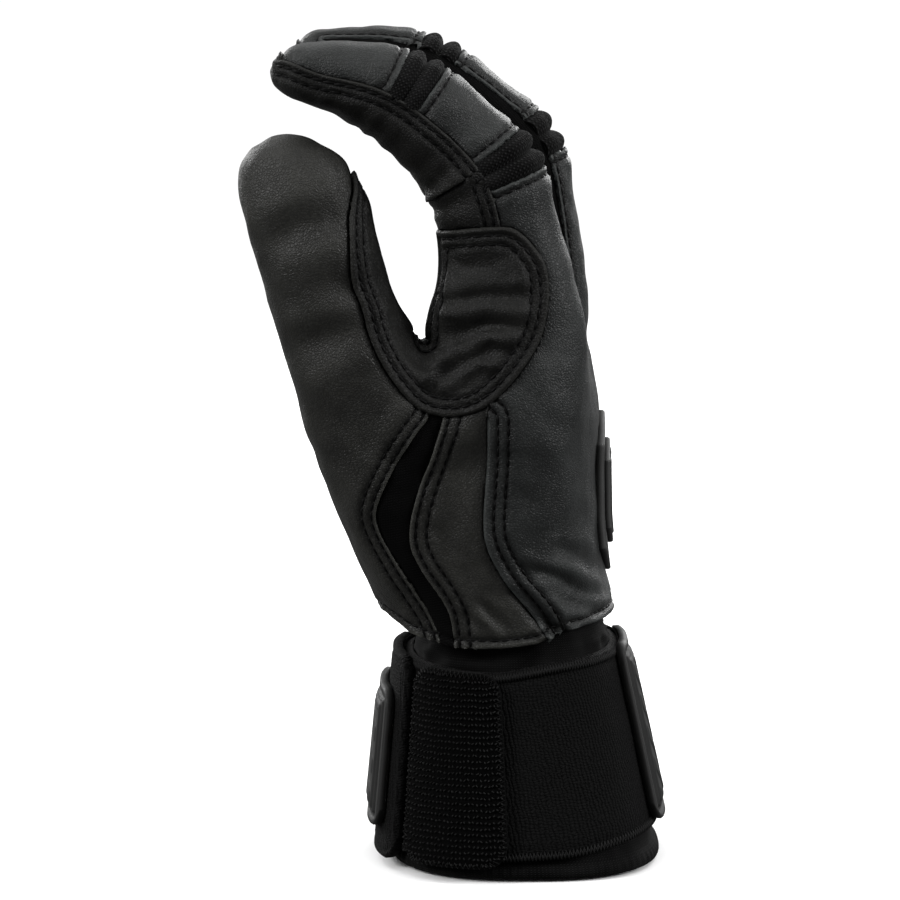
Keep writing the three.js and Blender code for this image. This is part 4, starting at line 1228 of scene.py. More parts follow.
# %% Material helper
class Net:
    """A thin helper round a material's node tree."""

    def __init__(self, name, roughness, specular, sheen=0.0, sheen_rough=0.5):
        self.mat = bpy.data.materials.new(name)
        self.mat.use_nodes = True
        self.tree = self.mat.node_tree
        self.shader = self.tree.nodes["Principled BSDF"]
        self.shader.inputs["Roughness"].default_value = roughness
        self.shader.inputs["Specular IOR Level"].default_value = specular
        self.shader.inputs["Sheen Weight"].default_value = sheen
        self.shader.inputs["Sheen Roughness"].default_value = sheen_rough

    def node(self, kind, settings=None, **inputs):
        node = self.tree.nodes.new(kind)
        for key, value in (settings or {}).items():
            setattr(node, key, value)
        for key, value in inputs.items():
            self.put(node, key.replace("_", " "), value)
        return node

    def put(self, node, key, value):
        socket = node.inputs[int(key)] if str(key).isdigit() else node.inputs[key]
        if isinstance(value, bpy.types.NodeSocket):
            self.tree.links.new(value, socket)
        else:
            socket.default_value = value

    def math(self, operation, a, b=0.0):
        node = self.node("ShaderNodeMath", {"operation": operation})
        self.put(node, 0, a)
        self.put(node, 1, b)
        return node.outputs[0]

    def mix(self, share, a, b):
        node = self.node("ShaderNodeMix", {"data_type": "RGBA"})
        self.put(node, 0, share)
        self.put(node, 6, a)
        self.put(node, 7, b)
        return node.outputs[2]

    def spread(self, value, low, high, to_low=0.0, to_high=1.0):
        node = self.node("ShaderNodeMapRange")
        for key, x in enumerate((value, low, high, to_low, to_high)):
            self.put(node, key, x)
        return node.outputs[0]

    def noise(self, coords, size_mm, detail=3.0):
        return self.node("ShaderNodeTexNoise", Vector=coords, Scale=1000.0 / size_mm,
                         Detail=detail).outputs[0]

    def object(self):
        return self.node("ShaderNodeTexCoord").outputs["Object"]

    def attribute(self, name):
        return self.node("ShaderNodeAttribute", {"attribute_name": name}).outputs["Fac"]

    def bump(self, height, strength, depth_mm, after=None):
        node = self.node("ShaderNodeBump", Strength=strength, Distance=depth_mm / 1000,
                         Height=height)
        if after:
            self.put(node, "Normal", after)
        return node.outputs[0]

    def finish(self, color=None, roughness=None, normal=None):
        for key, value in (("Base Color", color), ("Roughness", roughness), ("Normal", normal)):
            if value is not None:
                self.put(self.shader, key, value)
        return self.mat


def grey(value, tint=(1.0, 1.0, 1.0)):
    """A colour of one brightness, with a faint tint."""
    return (value * tint[0], value * tint[1], value * tint[2], 1.0)


print("a middle grey:", grey(0.18))

# %% [markdown]
# ## Leather
# Grain leather has cells over half a millimetre wide, with finer ones in them and pores
# between. Raised edges and fold crests are lighter, partly rubbed wear and partly a painted
# highlight, and a painted shade darkens it along stitches and beside laps. The cells come
# from Voronoi textures, which need no UVs and so show no break at a seam.

# %% Leather
CELL_MM, SMALL_CELL_MM, WRINKLE_MM = 0.64, 0.34, 1.9


def leather(name, dark, light, roughness, specular, tint):
    net = Net(name, roughness, specular)
    at = net.object()
    cells = net.node("ShaderNodeTexVoronoi", {"feature": "DISTANCE_TO_EDGE"},
                     Vector=at, Scale=TO_MM / CELL_MM).outputs["Distance"]
    small = net.node("ShaderNodeTexVoronoi", {"feature": "F1"},
                     Vector=at, Scale=TO_MM / SMALL_CELL_MM).outputs["Distance"]
    grain = net.spread(cells, 0.0, 0.22)
    pores = net.noise(at, 0.35, 2.0)
    patches = net.noise(at, 9.0, 4.0)
    wear_and_highlight = net.attribute("wear_and_highlight")
    height = net.math("ADD", net.math("MULTIPLY", grain, 0.6), net.math("MULTIPLY", small, 0.5))
    height = net.math("ADD", height, net.math("MULTIPLY", pores, 0.35))
    height = net.math("ADD", height, net.math("MULTIPLY", net.noise(at, WRINKLE_MM, 3.0), 1.1))
    base = net.mix(net.spread(patches, 0.3, 0.7), grey(dark, tint), grey(light, tint))
    base = net.mix(net.math("MULTIPLY", net.math("SUBTRACT", 1.0, grain), 0.6), base,
                   grey(dark * 0.35, tint))
    # lighter at edges and fold crests: partly rubbed wear, partly a painted highlight
    base = net.mix(net.math("MULTIPLY", wear_and_highlight, 0.42), base, grey(light * 2.6, tint))
    # painted shade: darker along stitch rows and beside laps
    base = net.mix(net.math("MULTIPLY", net.attribute("painted_shade"), 0.9), base,
                   grey(dark * 0.12, tint))
    shine = net.spread(net.math("ADD", patches, net.math("MULTIPLY", pores, 0.5)), 0.4, 1.1,
                       roughness - 0.09, roughness + 0.13)
    return net.finish(base, shine, net.bump(height, 0.8, 0.13))


leathers = {
    "leather": leather("black_leather", 0.0125, 0.024, 0.44, 0.2, (1.0, 1.0, 0.89)),
    "back": leather("back_leather", 0.0125, 0.024, 0.44, 0.2, (0.92, 1.0, 0.98)),
    "palm": leather("palm_leather", 0.0042, 0.009, 0.48, 0.14, (1.0, 1.0, 0.91)),
}
print("leathers:", ", ".join(leathers))

# %% [markdown]
# ## Knit, jersey and elastic
# Cloth is threads that go over and under. Two waves across the piece's millimetre UVs give
# the threads: plain for the knuckle bands and the sleeve, slanting for the stretch knit,
# and wavering and upright for the elastic, whose cords aren't quite even.


# %% Cloth
def woven(name, base, pitch_u, pitch_v, kind, roughness, sheen, depth=0.16):
    """Cloth from its millimetre UVs: plain, slanting as a twill, or with upright cords."""
    net = Net(name, roughness, 0.05, sheen, 0.4)
    uv = net.node("ShaderNodeUVMap", {"uv_map": "mm"}).outputs[0]
    u, w, _ = net.node("ShaderNodeSeparateXYZ", Vector=uv).outputs
    if kind == "upright":
        drift = net.math("MULTIPLY", net.noise(net.object(), 1.6, 2.0), 1.3)
        u = net.math("ADD", net.math("ADD", u, net.math("MULTIPLY", w, 0.12)), drift)
        w = net.math("ADD", w, net.math("MULTIPLY", drift, 1.5))
    wave_u = net.math("SINE", net.math("MULTIPLY", u, 2 * math.pi / pitch_u))
    if kind == "twill":
        w = net.math("ADD", w, net.math("MULTIPLY", u, 0.8))
    wave_v = net.math("SINE", net.math("MULTIPLY", w, 2 * math.pi / pitch_v))
    if kind == "upright":
        height = net.math("ADD", net.math("ABSOLUTE", wave_u),
                          net.math("MULTIPLY", net.math("ABSOLUTE", wave_v), 0.45))
    else:
        height = net.math("ADD", net.math("MULTIPLY", wave_u, wave_v),
                          net.math("MULTIPLY", wave_v, 0.4))
    fuzz = net.noise(net.object(), 0.4, 3.0)
    patches = net.noise(net.object(), 7.0, 3.0)
    dark_below = 0.5 if kind == "upright" else 0.1
    tone = net.mix(net.spread(height, dark_below, 1.25), grey(base * 0.15), grey(base * 1.9))
    if kind == "upright":
        tone = net.mix(net.math("MULTIPLY", net.spread(fuzz, 0.56, 0.68), 0.5), tone,
                       grey(base * 6.0))
    tone = net.mix(net.math("MULTIPLY", net.spread(patches, 0.35, 0.7), 0.35), tone,
                   grey(base * 1.9))
    rough = net.spread(fuzz, 0.3, 0.7, roughness - 0.08, min(1.0, roughness + 0.08))
    height = net.math("ADD", net.math("MULTIPLY", height, 0.5), net.math("MULTIPLY", fuzz, 0.5))
    return net.finish(tone, rough, net.bump(height, 0.6, depth))


cloths = {
    "stretch": woven("stretch_knit", 0.0011, 0.55, 0.55, "twill", 0.8, 0.01),
    "knit": woven("ribbed_knit", 0.0075, 0.62, 0.8, "plain", 0.85, 0.03, 0.3),
    "neoprene": woven("neoprene_jersey", 0.0062, 0.7, 0.5, "plain", 0.85, 0.01, 0.14),
    "elastic": woven("woven_elastic", 0.0019, 1.7, 1.3, "upright", 0.8, 0.01, 0.8),
}
print("cloths:", ", ".join(cloths))

# %% [markdown]
# ## Rubber, thread and fleece
# The badges are dull moulded rubber that is rubbed lighter at its rims. Thread has fine
# strands, and the loop fleece swallows nearly all light.

# %% Rubber, thread and fleece
RUBBER_TINT = (0.98, 1, 0.97)


def rubber(name, base, roughness):
    net = Net(name, roughness, 0.26)
    at = net.object()
    fine_dots = net.noise(at, 0.3, 2.0)
    patches = net.noise(at, 5.0, 4.0)
    wear_and_highlight = net.attribute("wear_and_highlight")
    tone = net.mix(net.spread(patches, 0.3, 0.7), grey(base * 0.8, RUBBER_TINT),
                   grey(base * 1.25, RUBBER_TINT))
    tone = net.mix(net.math("MULTIPLY", wear_and_highlight, 0.4), tone, grey(base * 2.2))
    rough = net.spread(patches, 0.3, 0.7, roughness - 0.07, roughness + 0.1)
    return net.finish(tone, rough, net.bump(fine_dots, 0.35, 0.06))


def thread(name, base):
    net = Net(name, 0.5, 0.08, 0.02, 0.4)
    strands = net.noise(net.object(), 0.25, 2.0)
    tone = net.mix(net.spread(strands, 0.3, 0.7), grey(base * 0.6), grey(base * 1.6))
    rough = net.spread(strands, 0.3, 0.7, 0.42, 0.62)
    return net.finish(tone, rough, net.bump(strands, 0.5, 0.08))


def fuzzy(name, base):
    net = Net(name, 1.0, 0.03, 0.01, 0.6)
    loops = net.noise(net.object(), 0.5, 4.0)
    patches = net.noise(net.object(), 4.0, 3.0)
    tone = net.mix(net.spread(loops, 0.35, 0.65), grey(base * 0.35), grey(base * 1.5))
    tone = net.mix(net.math("MULTIPLY", patches, 0.3), tone, grey(base * 1.8))
    rough = net.spread(loops, 0.3, 0.7, 0.9, 1.0)
    return net.finish(tone, rough, net.bump(loops, 0.9, 0.35))


LOOKS = {
    **leathers,
    **cloths,
    "fuzz": fuzzy("loop_fleece", 0.0006),
    "badge": rubber("grey_rubber", 0.019, 0.56),
    "dark_badge": rubber("black_rubber", 0.0055, 0.6),
    "loops": thread("loop_thread", 0.0065),
    "overlock": thread("overlock_thread", 0.006),
    "thread": thread("black_thread", 0.0012),
}
print("materials:", ", ".join(LOOKS))

# %% [markdown]
# ## Pieces
# A piece is a Blender object with its look, its UVs in millimetres, its edge wear with painted
# highlight, its painted shade, and the node of the solid model that it stands for. Leather and
# knit get their thickness from a Solidify modifier, which grows inward and leaves the outer
# face where it is.

# %% Piece maker
made = []


def piece(name, verts, faces, look, nodes=(), wear_and_highlight=None, uv=None, wall=0.0,
          painted_shade=None):
    mesh = new_mesh(name, verts, faces)
    mesh.materials.append(LOOKS[look])
    if wear_and_highlight is not None:
        mesh.attributes.new("wear_and_highlight", "FLOAT", "POINT").data.foreach_set("value", wear_and_highlight)
    if painted_shade is not None:
        mesh.attributes.new("painted_shade", "FLOAT", "POINT").data.foreach_set("value", painted_shade)
    if uv is not None:
        index = np.empty(len(mesh.loops), int)
        mesh.loops.foreach_get("vertex_index", index)
        mesh.uv_layers.new(name="mm").data.foreach_set("uv", uv[index].ravel())
    mesh.polygons.foreach_set("use_smooth", [True] * len(mesh.polygons))
    obj = bpy.data.objects.new(name, mesh)
    bpy.context.collection.objects.link(obj)
    if wall:
        modifier = obj.modifiers.new("wall", "SOLIDIFY")
        modifier.thickness = wall / 1000
        modifier.offset = -1
        modifier.use_rim = True
    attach(obj, "root")
    if nodes:
        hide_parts(*nodes)
    made.append(name)


print("looks to choose from:", len(LOOKS))

# %% [markdown]
# ## Millimetre coordinates
# A knit follows its finger, so its threads need coordinates that bend with it. A strip gets
# them from station and angle. Leather has no threads, so the side view will do.


# %% Panel coordinates
def panel_uv(name, p, q):
    """Millimetre UVs: along and round a finger for a strip, the side view elsewhere."""
    if name in STRIPS:
        owner = owner_of(q)
        out = np.zeros((len(p), 2))
        for i, digit_name in enumerate(NAMES):
            s, angle, _, radius = station(digit_name, q)
            mine = owner == i
            out[mine, 0] = (s * digits[digit_name].length)[mine]
            out[mine, 1] = (np.radians(angle) * radius)[mine]
        return out
    return p[:, ::2].copy()


print("strips:", ", ".join(STRIPS))

# %% [markdown]
# ## What a panel needs
# Before a panel is made, it is asked which seams it has, which look it takes, and with
# which group of stitches its own rows go.


# %% Panel helpers
def seams_of(name):
    """Where a panel laps over others, and where it runs under them."""
    tops, unders = [], []
    for over, under, lift, rows, *half in SEAMS:
        if name in over:
            points = seam_points([name], [u for u in under if u != name], *half)
            if len(points):
                tops.append((points, lift, rows))
        elif name in under:
            points = seam_points(over, [name], *half)
            if len(points):
                unders.append(points)
    return tops, unders


def look_of(name):
    if name in STRETCHY:
        return "stretch"
    if name in PALM_LEATHER:
        return "palm"
    return "back" if name in BACKS else "leather"


def stitch_kind(name):
    if name.startswith("thumb"):
        return "thumb"
    return "fingers" if "_front" in name or "_back" in name else "hand"


print("the thumb leather laps over", len(seams_of("thumb_leather")[0]), "neighbours")

# %% [markdown]
# ## Making a panel
# A panel is cut once more along its hems and stitch rows, so that there are points where it
# is pressed in. Then it is lifted by its relief and given a wall, and its stitch lines are
# kept for later.

# %% Panel maker
HEM_CUTS = (0.4, 0.9)   # two cuts that keep the rolled edge of a lap round
KNIT_WALL, LEATHER_WALL = 1.2, 1.8
stitch_sets = {}


def make_panel(name):
    """Make one panel's object, keep its stitch lines, and return its count of triangles."""
    mine = tri_id == ids[name]
    used = np.unique(t[mine])
    back_to = np.full(len(v), -1)
    back_to[used] = np.arange(len(used))
    pv, pt, columns = v[used], back_to[t[mine]], np.hstack([normals[used], q[used]])
    tops, unders = seams_of(name)
    for points, _, rows in tops:
        for at in HEM_CUTS + rows:
            pv, pt, columns = cut_mesh(pv, pt, columns, distances(points, pv) - at)
    pn = columns[:, :3] / np.linalg.norm(columns[:, :3], axis=1, keepdims=True)
    pq = columns[:, 3:]
    top_rows = [(distances(points, pv), lift, rows) for points, lift, rows in tops]
    under_rows = [distances(points, pv) for points in unders]
    h, wear_and_highlight, painted_shade = relief(name, pv, pq, pn, top_rows, under_rows)
    lifted = pv + pn * h[:, None]
    slot_name, wall = ("stretch", KNIT_WALL) if name in STRETCHY else ("leather", LEATHER_WALL)
    piece("look_" + name, lifted, pt, look_of(name), (name,), wear_and_highlight,
          panel_uv(name, pv, pq), wall, painted_shade)
    new_n = point_normals(lifted, pt)
    for d, _, rows in top_rows:
        for row in rows:
            chains = level_lines(lifted, pt, new_n, d, row)
            stitch_sets.setdefault(stitch_kind(name), []).extend(chains)
    return 2 * len(pt)


print("walls:", KNIT_WALL, "mm of knit,", LEATHER_WALL, "mm of leather")

# %% [markdown]
# ## Sewing the glove
# All panels are made in turn, and then the stitches of thumb, fingers and hand become one
# object each.

# %% Panels and stitches
panels = [name for name in ids if name and name not in KNITS]
total_tris = sum(make_panel(name) for name in panels)
for kind, chains in stitch_sets.items():
    verts, faces = sew(chains)
    piece("look_stitches_" + kind, verts, faces, "thread")
    print("stitches", kind, len(verts) // len(STITCH))
print("leather and stretch triangles:", total_tris)

# %% [markdown]
# ## Knit bands
# Over each knuckle lies a band of ribbed knit in two puffed rolls, so that the finger can
# bend. Its surface is laid over the finger's own section and raised by the rolls, and the
# ribs run along the finger.

# %% Knuckle bands
BAND_ROWS, BAND_COLUMNS = 27, 90
ROLL_HEIGHT, RIB_PITCH, BAND_SINK = 1.65, 1.1, 0.85


def grid_faces(rows, columns, closed=False):
    """Four-sided faces between neighbouring points of a grid."""
    last = columns if closed else columns - 1
    return [(i * columns + k, i * columns + (k + 1) % columns,
             (i + 1) * columns + (k + 1) % columns, (i + 1) * columns + k)
            for i in range(rows - 1) for k in range(last)]


def superellipse(angle, power):
    c, s = np.cos(angle), np.sin(angle)
    k = (np.abs(c)**power + np.abs(s)**power) ** (-1 / power)
    return c * k, s * k


def knuckle_band(name, band):
    digit, row, (s0, s1) = digits[name], FINGERS[name], BANDS[band]
    u, w = np.meshgrid(
        np.linspace(0, 1, BAND_ROWS), np.linspace(0, 1, BAND_COLUMNS), indexing="ij")
    s = s0 + (s1 - s0) * (-0.06 + 1.12 * u)
    angle = np.radians(row[8] - 1.5 + (row[9] - row[8] + 3) * w)

    def get(values):
        return np.interp(s, digit.s, values)

    thick, wide = get(digit.thick), get(digit.wide)
    run = np.radians(row[9] - row[8]) * w * (thick + wide) / 2
    roll = np.abs(np.sin(2 * np.pi * np.clip(u * 1.06 - 0.03, 0, 1))) ** 0.8
    rib = np.cos(2 * np.pi * run / RIB_PITCH + 0.6 * np.sin(6 * u))
    lift = ROLL_HEIGHT * roll * (1 + 0.12 * np.sin(run * 0.9)) + 0.05 * rib * roll - BAND_SINK
    c, d = superellipse(angle, FINGER_POWER)
    at = np.stack([get(digit.middle[:, k]) for k in range(3)], -1)
    back = np.stack([get(digit.back[:, k]) for k in range(3)], -1)
    points = at + back * (c * (thick + lift))[..., None]
    points[..., 1] += d * (wide + lift * 0.55)
    uv = np.stack([u * (s1 - s0) * digit.length, run], -1)
    piece(f"look_{name}_{band}_band", points.reshape(-1, 3), grid_faces(BAND_ROWS, BAND_COLUMNS),
          "knit", (f"{name}_{band}_band",), np.zeros(BAND_ROWS * BAND_COLUMNS),
          uv.reshape(-1, 2), 0.8)


for name in NAMES:
    for band in BANDS:
        knuckle_band(name, band)
print("knit bands:", len(NAMES) * len(BANDS))

# %% [markdown]
# ## Cuff
# The cuff's section swings from a wide wrist opening to the hand. Every piece of the cuff is
# laid on it by an angle round the wrist, a height and a lift, so sleeve, strap and plates
# lie on each other without fitting.

# %% Cuff surface
CUFF = np.array([
    # height share, then the back, palm, radial and ulnar shares
    (0, 1.02, -0.955, -0.99, 0.985), (1, 0.64, -0.79, -0.88, 0.85),
    (1.26, 0.54, -0.77, -0.9, 0.88)])
STRAP = np.array([
    # x share, low and high edge shares of the strap's height
    (-1, 0.085, 1.1), (-0.55, 0.08, 1.075), (-0.15, 0.08, 1.06), (0.3, 0.1, 1.115),
    (0.75, 0.18, 1.14), (1.05, 0.225, 1.15)])
STRAP_LIFT = 0.34
ON_STRAP = STRAP_LIFT + STRAP_WALL + 0.34


def on_cuff(z, angle, lift):
    """Points at a height and an angle round the wrist, lifted off the cuff's surface."""
    share = z / HEM

    def get(k, size):
        return np.interp(share, CUFF[:, 0], CUFF[:, k]) * size

    back, palm = get(1, CUFF_D) + lift, get(2, CUFF_D) - lift
    radial, ulnar = get(3, CUFF_B) - lift, get(4, CUFF_B) + lift
    c, d = superellipse(angle, POWER)
    return np.stack([(back + palm) / 2 + c * (back - palm) / 2,
                     (radial + ulnar) / 2 + d * (ulnar - radial) / 2, z + 0 * c], -1)


def strap_edge(angle, column):
    """Height of the strap's low (1) or high (2) edge, which slants with the hand."""
    x = on_cuff(np.full_like(angle, HEM / 2), angle, 0)[..., 0] / CUFF_D
    rows = fine(STRAP, 80, 6)
    return np.interp(x, rows[:, 0], rows[:, column]) * STRAP_H


TURN = np.linspace(0, 2 * math.pi, 361)[:-1]
ROUND = np.concatenate([[0], np.cumsum(np.linalg.norm(
    np.diff(on_cuff(0 * TURN + 20, TURN, 0), axis=0), axis=1))])


def arc_mm(angle):
    """How far round the cuff an angle is."""
    return np.interp(np.mod(angle, 2 * math.pi), TURN, ROUND)


print("round the cuff:", ROUND[-1].round(1), "mm")

# %% [markdown]
# ## Hoops
# Sleeve and strap are closed hoops. A profile says for every angle how the section runs up
# the outside and down the inside. A Screw modifier would turn one profile into a hoop, but
# here the profile changes all the way round.

# %% Hoop maker
HOOP_COLUMNS = 360


def cuff_hoop(profile):
    """A closed hoop: profile(angles) gives rows of points with heights and lifts."""
    count = HOOP_COLUMNS
    angle = np.linspace(0, 2 * math.pi, count, endpoint=False)
    rows = profile(angle)
    points = np.stack([on_cuff(z, angle, lift) for z, lift in rows])
    faces = grid_faces(len(rows), count, True)
    faces += [(k, (k + 1) % count, (len(rows) - 1) * count + (k + 1) % count,
               (len(rows) - 1) * count + k)[::-1] for k in range(count)]
    uv = np.stack([np.stack([arc_mm(angle), z + 0 * angle], -1) for z, _ in rows])
    return points.reshape(-1, 3), faces, uv.reshape(-1, 2)


def wrinkle(angle, z, size, seed):
    """Noise that runs round the cuff more than up it."""
    p = on_cuff(z + 0 * angle, angle, 0)
    return noise(p * np.array([0.6, 0.6, 1.8]), size, seed)


print("columns of a hoop:", HOOP_COLUMNS)

# %% [markdown]
# ## Sleeve
# The sleeve is soft foam with a jersey face. It has a rolled and ribbed rim at the wrist
# opening, lies flat under the strap, and folds where it is bare, between strap and hem.


# %% Sleeve
def sleeve_rows(angle):
    rows = [(-0.4 + 0 * angle, 0 * angle - 0.2)]
    for u in np.linspace(0, 1, 14):
        z = -0.4 + 3.4 * u
        rib = 0.12 * np.cos(angle * 90) * np.sin(np.pi * u)
        rows.append((z + 0 * angle, 0.3 + 0.85 * np.sin(np.pi * u) ** 0.6 + rib))
    for z in np.linspace(3.4, 61, 64):
        free = ramp(z, 42, 46) * (1 - ramp(z, 52, 56)) + 0.4 * (1 - ramp(z, 3.6, 6))
        bare = ramp(z, 43, 45) * (1 - ramp(z, 48, 49.2))
        fold = wrinkle(angle, z, 2.9, 1.1) * (0.34 * free + 0.8 * bare)
        rows.append((z + 0 * angle, np.minimum(0.18 + 0.6 * bare, fold - 0.05)))
    for z in np.linspace(61, -0.4, 12):
        rows.append((z + 0 * angle, -SLEEVE_WALL + 0 * angle))
    return rows


points, faces, uv = cuff_hoop(sleeve_rows)
piece("look_wrist_sleeve", points, faces, "neoprene", ("wrist_sleeve",),
      np.zeros(len(points)), uv)
print("sleeve points:", len(points))

# %% [markdown]
# ## Strap
# The strap is a thick woven elastic with round edges. It is pulled in a little along them,
# where a zigzag stitch binds it, and its upper edge is higher at the back of the hand.


# %% Strap
def strap_height(angle, share):
    """Height at a share of the way from the strap's low edge to its high edge."""
    low, high = strap_edge(angle, 1), strap_edge(angle, 2)
    return low + (high - low) * share


def strap_rows(angle):
    rows = []
    wave = 0.12 * np.sin(angle * 9 + 1) + 0.08 * np.sin(angle * 23)
    for u in np.linspace(0, 1, 48):
        edge = min(u, 1 - u) * STRAP_H
        bulge = math.sqrt(max(0.0, 1 - (1 - min(edge / 0.8, 1))**2))
        pressed = 0.3 * math.exp(-((edge - 1.7) / 1.1)**2)
        soft = wrinkle(angle, 20 + 20 * u, 8.0, 6.1) * 0.12
        lift = STRAP_LIFT + 0.3 + (STRAP_WALL - 0.3) * bulge - pressed + soft * bulge
        rows.append((strap_height(angle, u) + wave * (u - 0.5), lift))
    for u in np.linspace(1, 0, 8):
        rows.append((strap_height(angle, u), STRAP_LIFT + 0 * angle))
    return rows


points, faces, uv = cuff_hoop(strap_rows)
piece("look_strap", points, faces, "elastic", ("strap",), np.zeros(len(points)), uv)
print("strap points:", len(points))

# %% [markdown]
# ## Zigzag thread
# The thread that binds the strap's edges is a thin tube along a zigzag line. A curve with a
# bevel would give the same tube, but would have to be turned into a mesh to be exported.


# %% Strap threads
def tube(line, radius, sides=5):
    """A round thread along a line of points."""
    way = np.gradient(line, axis=0)
    way /= np.linalg.norm(way, axis=1, keepdims=True)
    up = np.cross(way, (0.0, 0.0, 1.0) + 0 * way)
    up /= np.maximum(np.linalg.norm(up, axis=1, keepdims=True), 1e-6)
    side_way = np.cross(way, up)
    ring = np.arange(sides) * 2 * math.pi / sides
    points = (line[:, None] + radius * (np.cos(ring)[None, :, None] * up[:, None]
                                        + np.sin(ring)[None, :, None] * side_way[:, None]))
    faces = grid_faces(len(line), sides, True)
    faces.append(tuple(range(sides - 1, -1, -1)))
    faces.append(tuple((len(line) - 1) * sides + k for k in range(sides)))
    return points.reshape(-1, 3), faces


def join(parts):
    """Several meshes as one."""
    verts, faces = [], []
    for points, part in parts:
        base = sum(len(x) for x in verts)
        verts.append(points)
        faces += [tuple(base + k for k in f) for f in part]
    return np.concatenate(verts), faces


def zigzag(edge, depth, pitch=0.8):
    """A line that zigzags over one edge of the strap, in four steps for each stitch."""
    count = int(ROUND[-1] / pitch)
    angle = np.linspace(0, 2 * math.pi, 4 * count, endpoint=False)
    phase = np.arange(len(angle)) % 4
    swing = np.array([0.0, 0.5, 1.0, 0.5])[phase]
    share = depth * (0.12 + 0.88 * swing) / STRAP_H
    share = share if edge == 0 else 1 - share
    z = strap_height(angle, share)
    out = STRAP_LIFT + STRAP_WALL - 0.1 + 0.12 * np.sin(np.pi * swing)
    return on_cuff(z, angle, out)


verts, faces = join([tube(zigzag(edge, 1.9), 0.2) for edge in (0, 1)])
piece("look_strap_zigzag", verts, faces, "overlock")
print("points of the strap's threads:", len(verts))

# %% [markdown]
# ## Plates on the strap
# The loop patch, the strap's end and the badges are rounded plates that follow the cuff. A
# flat plate bent by a Curve modifier would slip off the cuff's slant, so each plate is a
# grid that is laid on the cuff point by point.

# %% Plate table
PLATES = {
    # from and to in degrees, low and high trim, corner, lift, thickness, mm per degree
    "loop_patch": (-140, -97, -1.2, 0.2, 5, 0.0, 1.7, 0.5),
    "strap_flap": (144, 216, -2.6, 0.6, 5, 0.0, 2.2, 0.5),
    "flap_badge": (152, 208, 4, -7, 4, 2.54, 1.8, 0.5),
    "strap_badge": (-28, 28, 1, 0.5, 4, 0.0, 1.8, 0.55),
}


def corner_trim(d, corner):
    """How much a round corner takes off at a distance from the end."""
    return np.where(d < corner, corner - np.sqrt(np.maximum(0, corner**2 - (corner - d)**2)), 0)


def rim_of(columns, rows):
    """Numbers of the points round the rim of a grid."""
    rim = list(range(rows)) + [i * rows + rows - 1 for i in range(1, columns)]
    rim += [(columns - 1) * rows + k for k in range(rows - 2, -1, -1)]
    return rim + [i * rows for i in range(columns - 2, 0, -1)]


print("plates to make:", ", ".join(PLATES))

# %% [markdown]
# ## Making a plate
# A plate has a top and a bottom grid joined round the rim. The top curves down at its edge,
# and a small function adds what stands up or lies deeper on it.


# %% Plate maker
def plate(name, columns, rows, surface, look, rounding=0.6):
    """A plate with a rounded top edge; surface(mm from edge, x, z) adds to its height."""
    start, end, low, high, corner, lift, thick, per_degree = PLATES[name]
    u, w = np.meshgrid(np.linspace(0, 1, columns), np.linspace(0, 1, rows), indexing="ij")
    wide = (end - start) * per_degree
    d = np.minimum(u, 1 - u) * wide
    trim = corner_trim(d, corner)
    angle = np.radians(start + (end - start) * u)
    z0 = strap_edge(angle, 1) + low + trim
    z1 = strap_edge(angle, 2) + high - trim
    tall = z1 - z0
    edge = np.minimum(d, np.minimum(w, 1 - w) * tall)
    dome = np.sqrt(np.clip(1 - (1 - np.clip(edge / rounding, 0, 1))**2, 0, 1))
    z = z0 + tall * w
    extra = surface(edge, u * wide, z) * np.clip(edge / 0.6, 0, 1)
    base = ON_STRAP + lift
    top = on_cuff(z, angle, base + thick - rounding * (1 - dome) + extra)
    bottom = on_cuff(z, angle, base + 0 * u)
    n = columns * rows
    faces = [f[::-1] for f in grid_faces(columns, rows)]
    faces += [tuple(n + k for k in f[::-1]) for f in faces]
    rim = rim_of(columns, rows)
    faces += [(a, b, n + b, n + a) for a, b in zip(rim, rim[1:] + rim[:1])]
    points = np.concatenate([top.reshape(-1, 3), bottom.reshape(-1, 3)])
    wear_and_highlight = np.exp(-(edge / 0.7)**2).ravel()
    uv = np.stack([u * wide, z], -1).reshape(-1, 2)
    piece("look_" + name, points, faces, look, (name,),
          np.concatenate([wear_and_highlight, 0 * wear_and_highlight]), np.concatenate([uv, uv]))
    print(name, "is", round(wide), "mm long")


print("points on the rim of a badge:", len(rim_of(84, 96)))

# %% [markdown]
# ## Loop patch, strap end and badges
# The patch and the strap's end are woven in fine rows and pressed in along a sewn rim. Each
# badge is a rubber plate with a groove inside its rim and slanting bars on a raised field.


# %% Plates
def patch_top(edge, x, z):
    return 0.12 * np.cos(2 * np.pi * z / 1.37) - 0.25 * np.exp(-((edge - 0.9) / 0.4)**2)


def flap_top(edge, x, z):
    return 0.06 * np.cos(2 * np.pi * z / 1.15) - 0.3 * np.exp(-((edge - 1.6) / 0.5)**2)


def badge_top(edge, x, z):
    inner = 0.45 * ramp(edge, 3.4, 4.1)
    groove = -0.5 * ramp(edge, 1.3, 1.7) * (1 - ramp(edge, 2.5, 2.9))
    bars = 0.3 * (np.abs(np.mod(z + 0.8 * x, 7.0) - 3.5) < 1.6) * ramp(edge, 4.6, 5.1)
    return inner + groove + bars * 0.8


plate("loop_patch", 50, 110, patch_top, "fuzz")
plate("strap_flap", 70, 80, flap_top, "elastic", 0.8)
plate("flap_badge", 84, 96, badge_top, "dark_badge", 0.5)
plate("strap_badge", 84, 96, badge_top, "dark_badge", 0.5)
print("plates made:", len(PLATES))

# %% [markdown]
# ## Loops on the patch
# The patch is the soft half of a hook-and-loop fastener. Its loops are bent over this way
# and that, in rows. Hair particles would be the usual way, but stitches like those of the
# seams are real geometry and need no settings of their own.


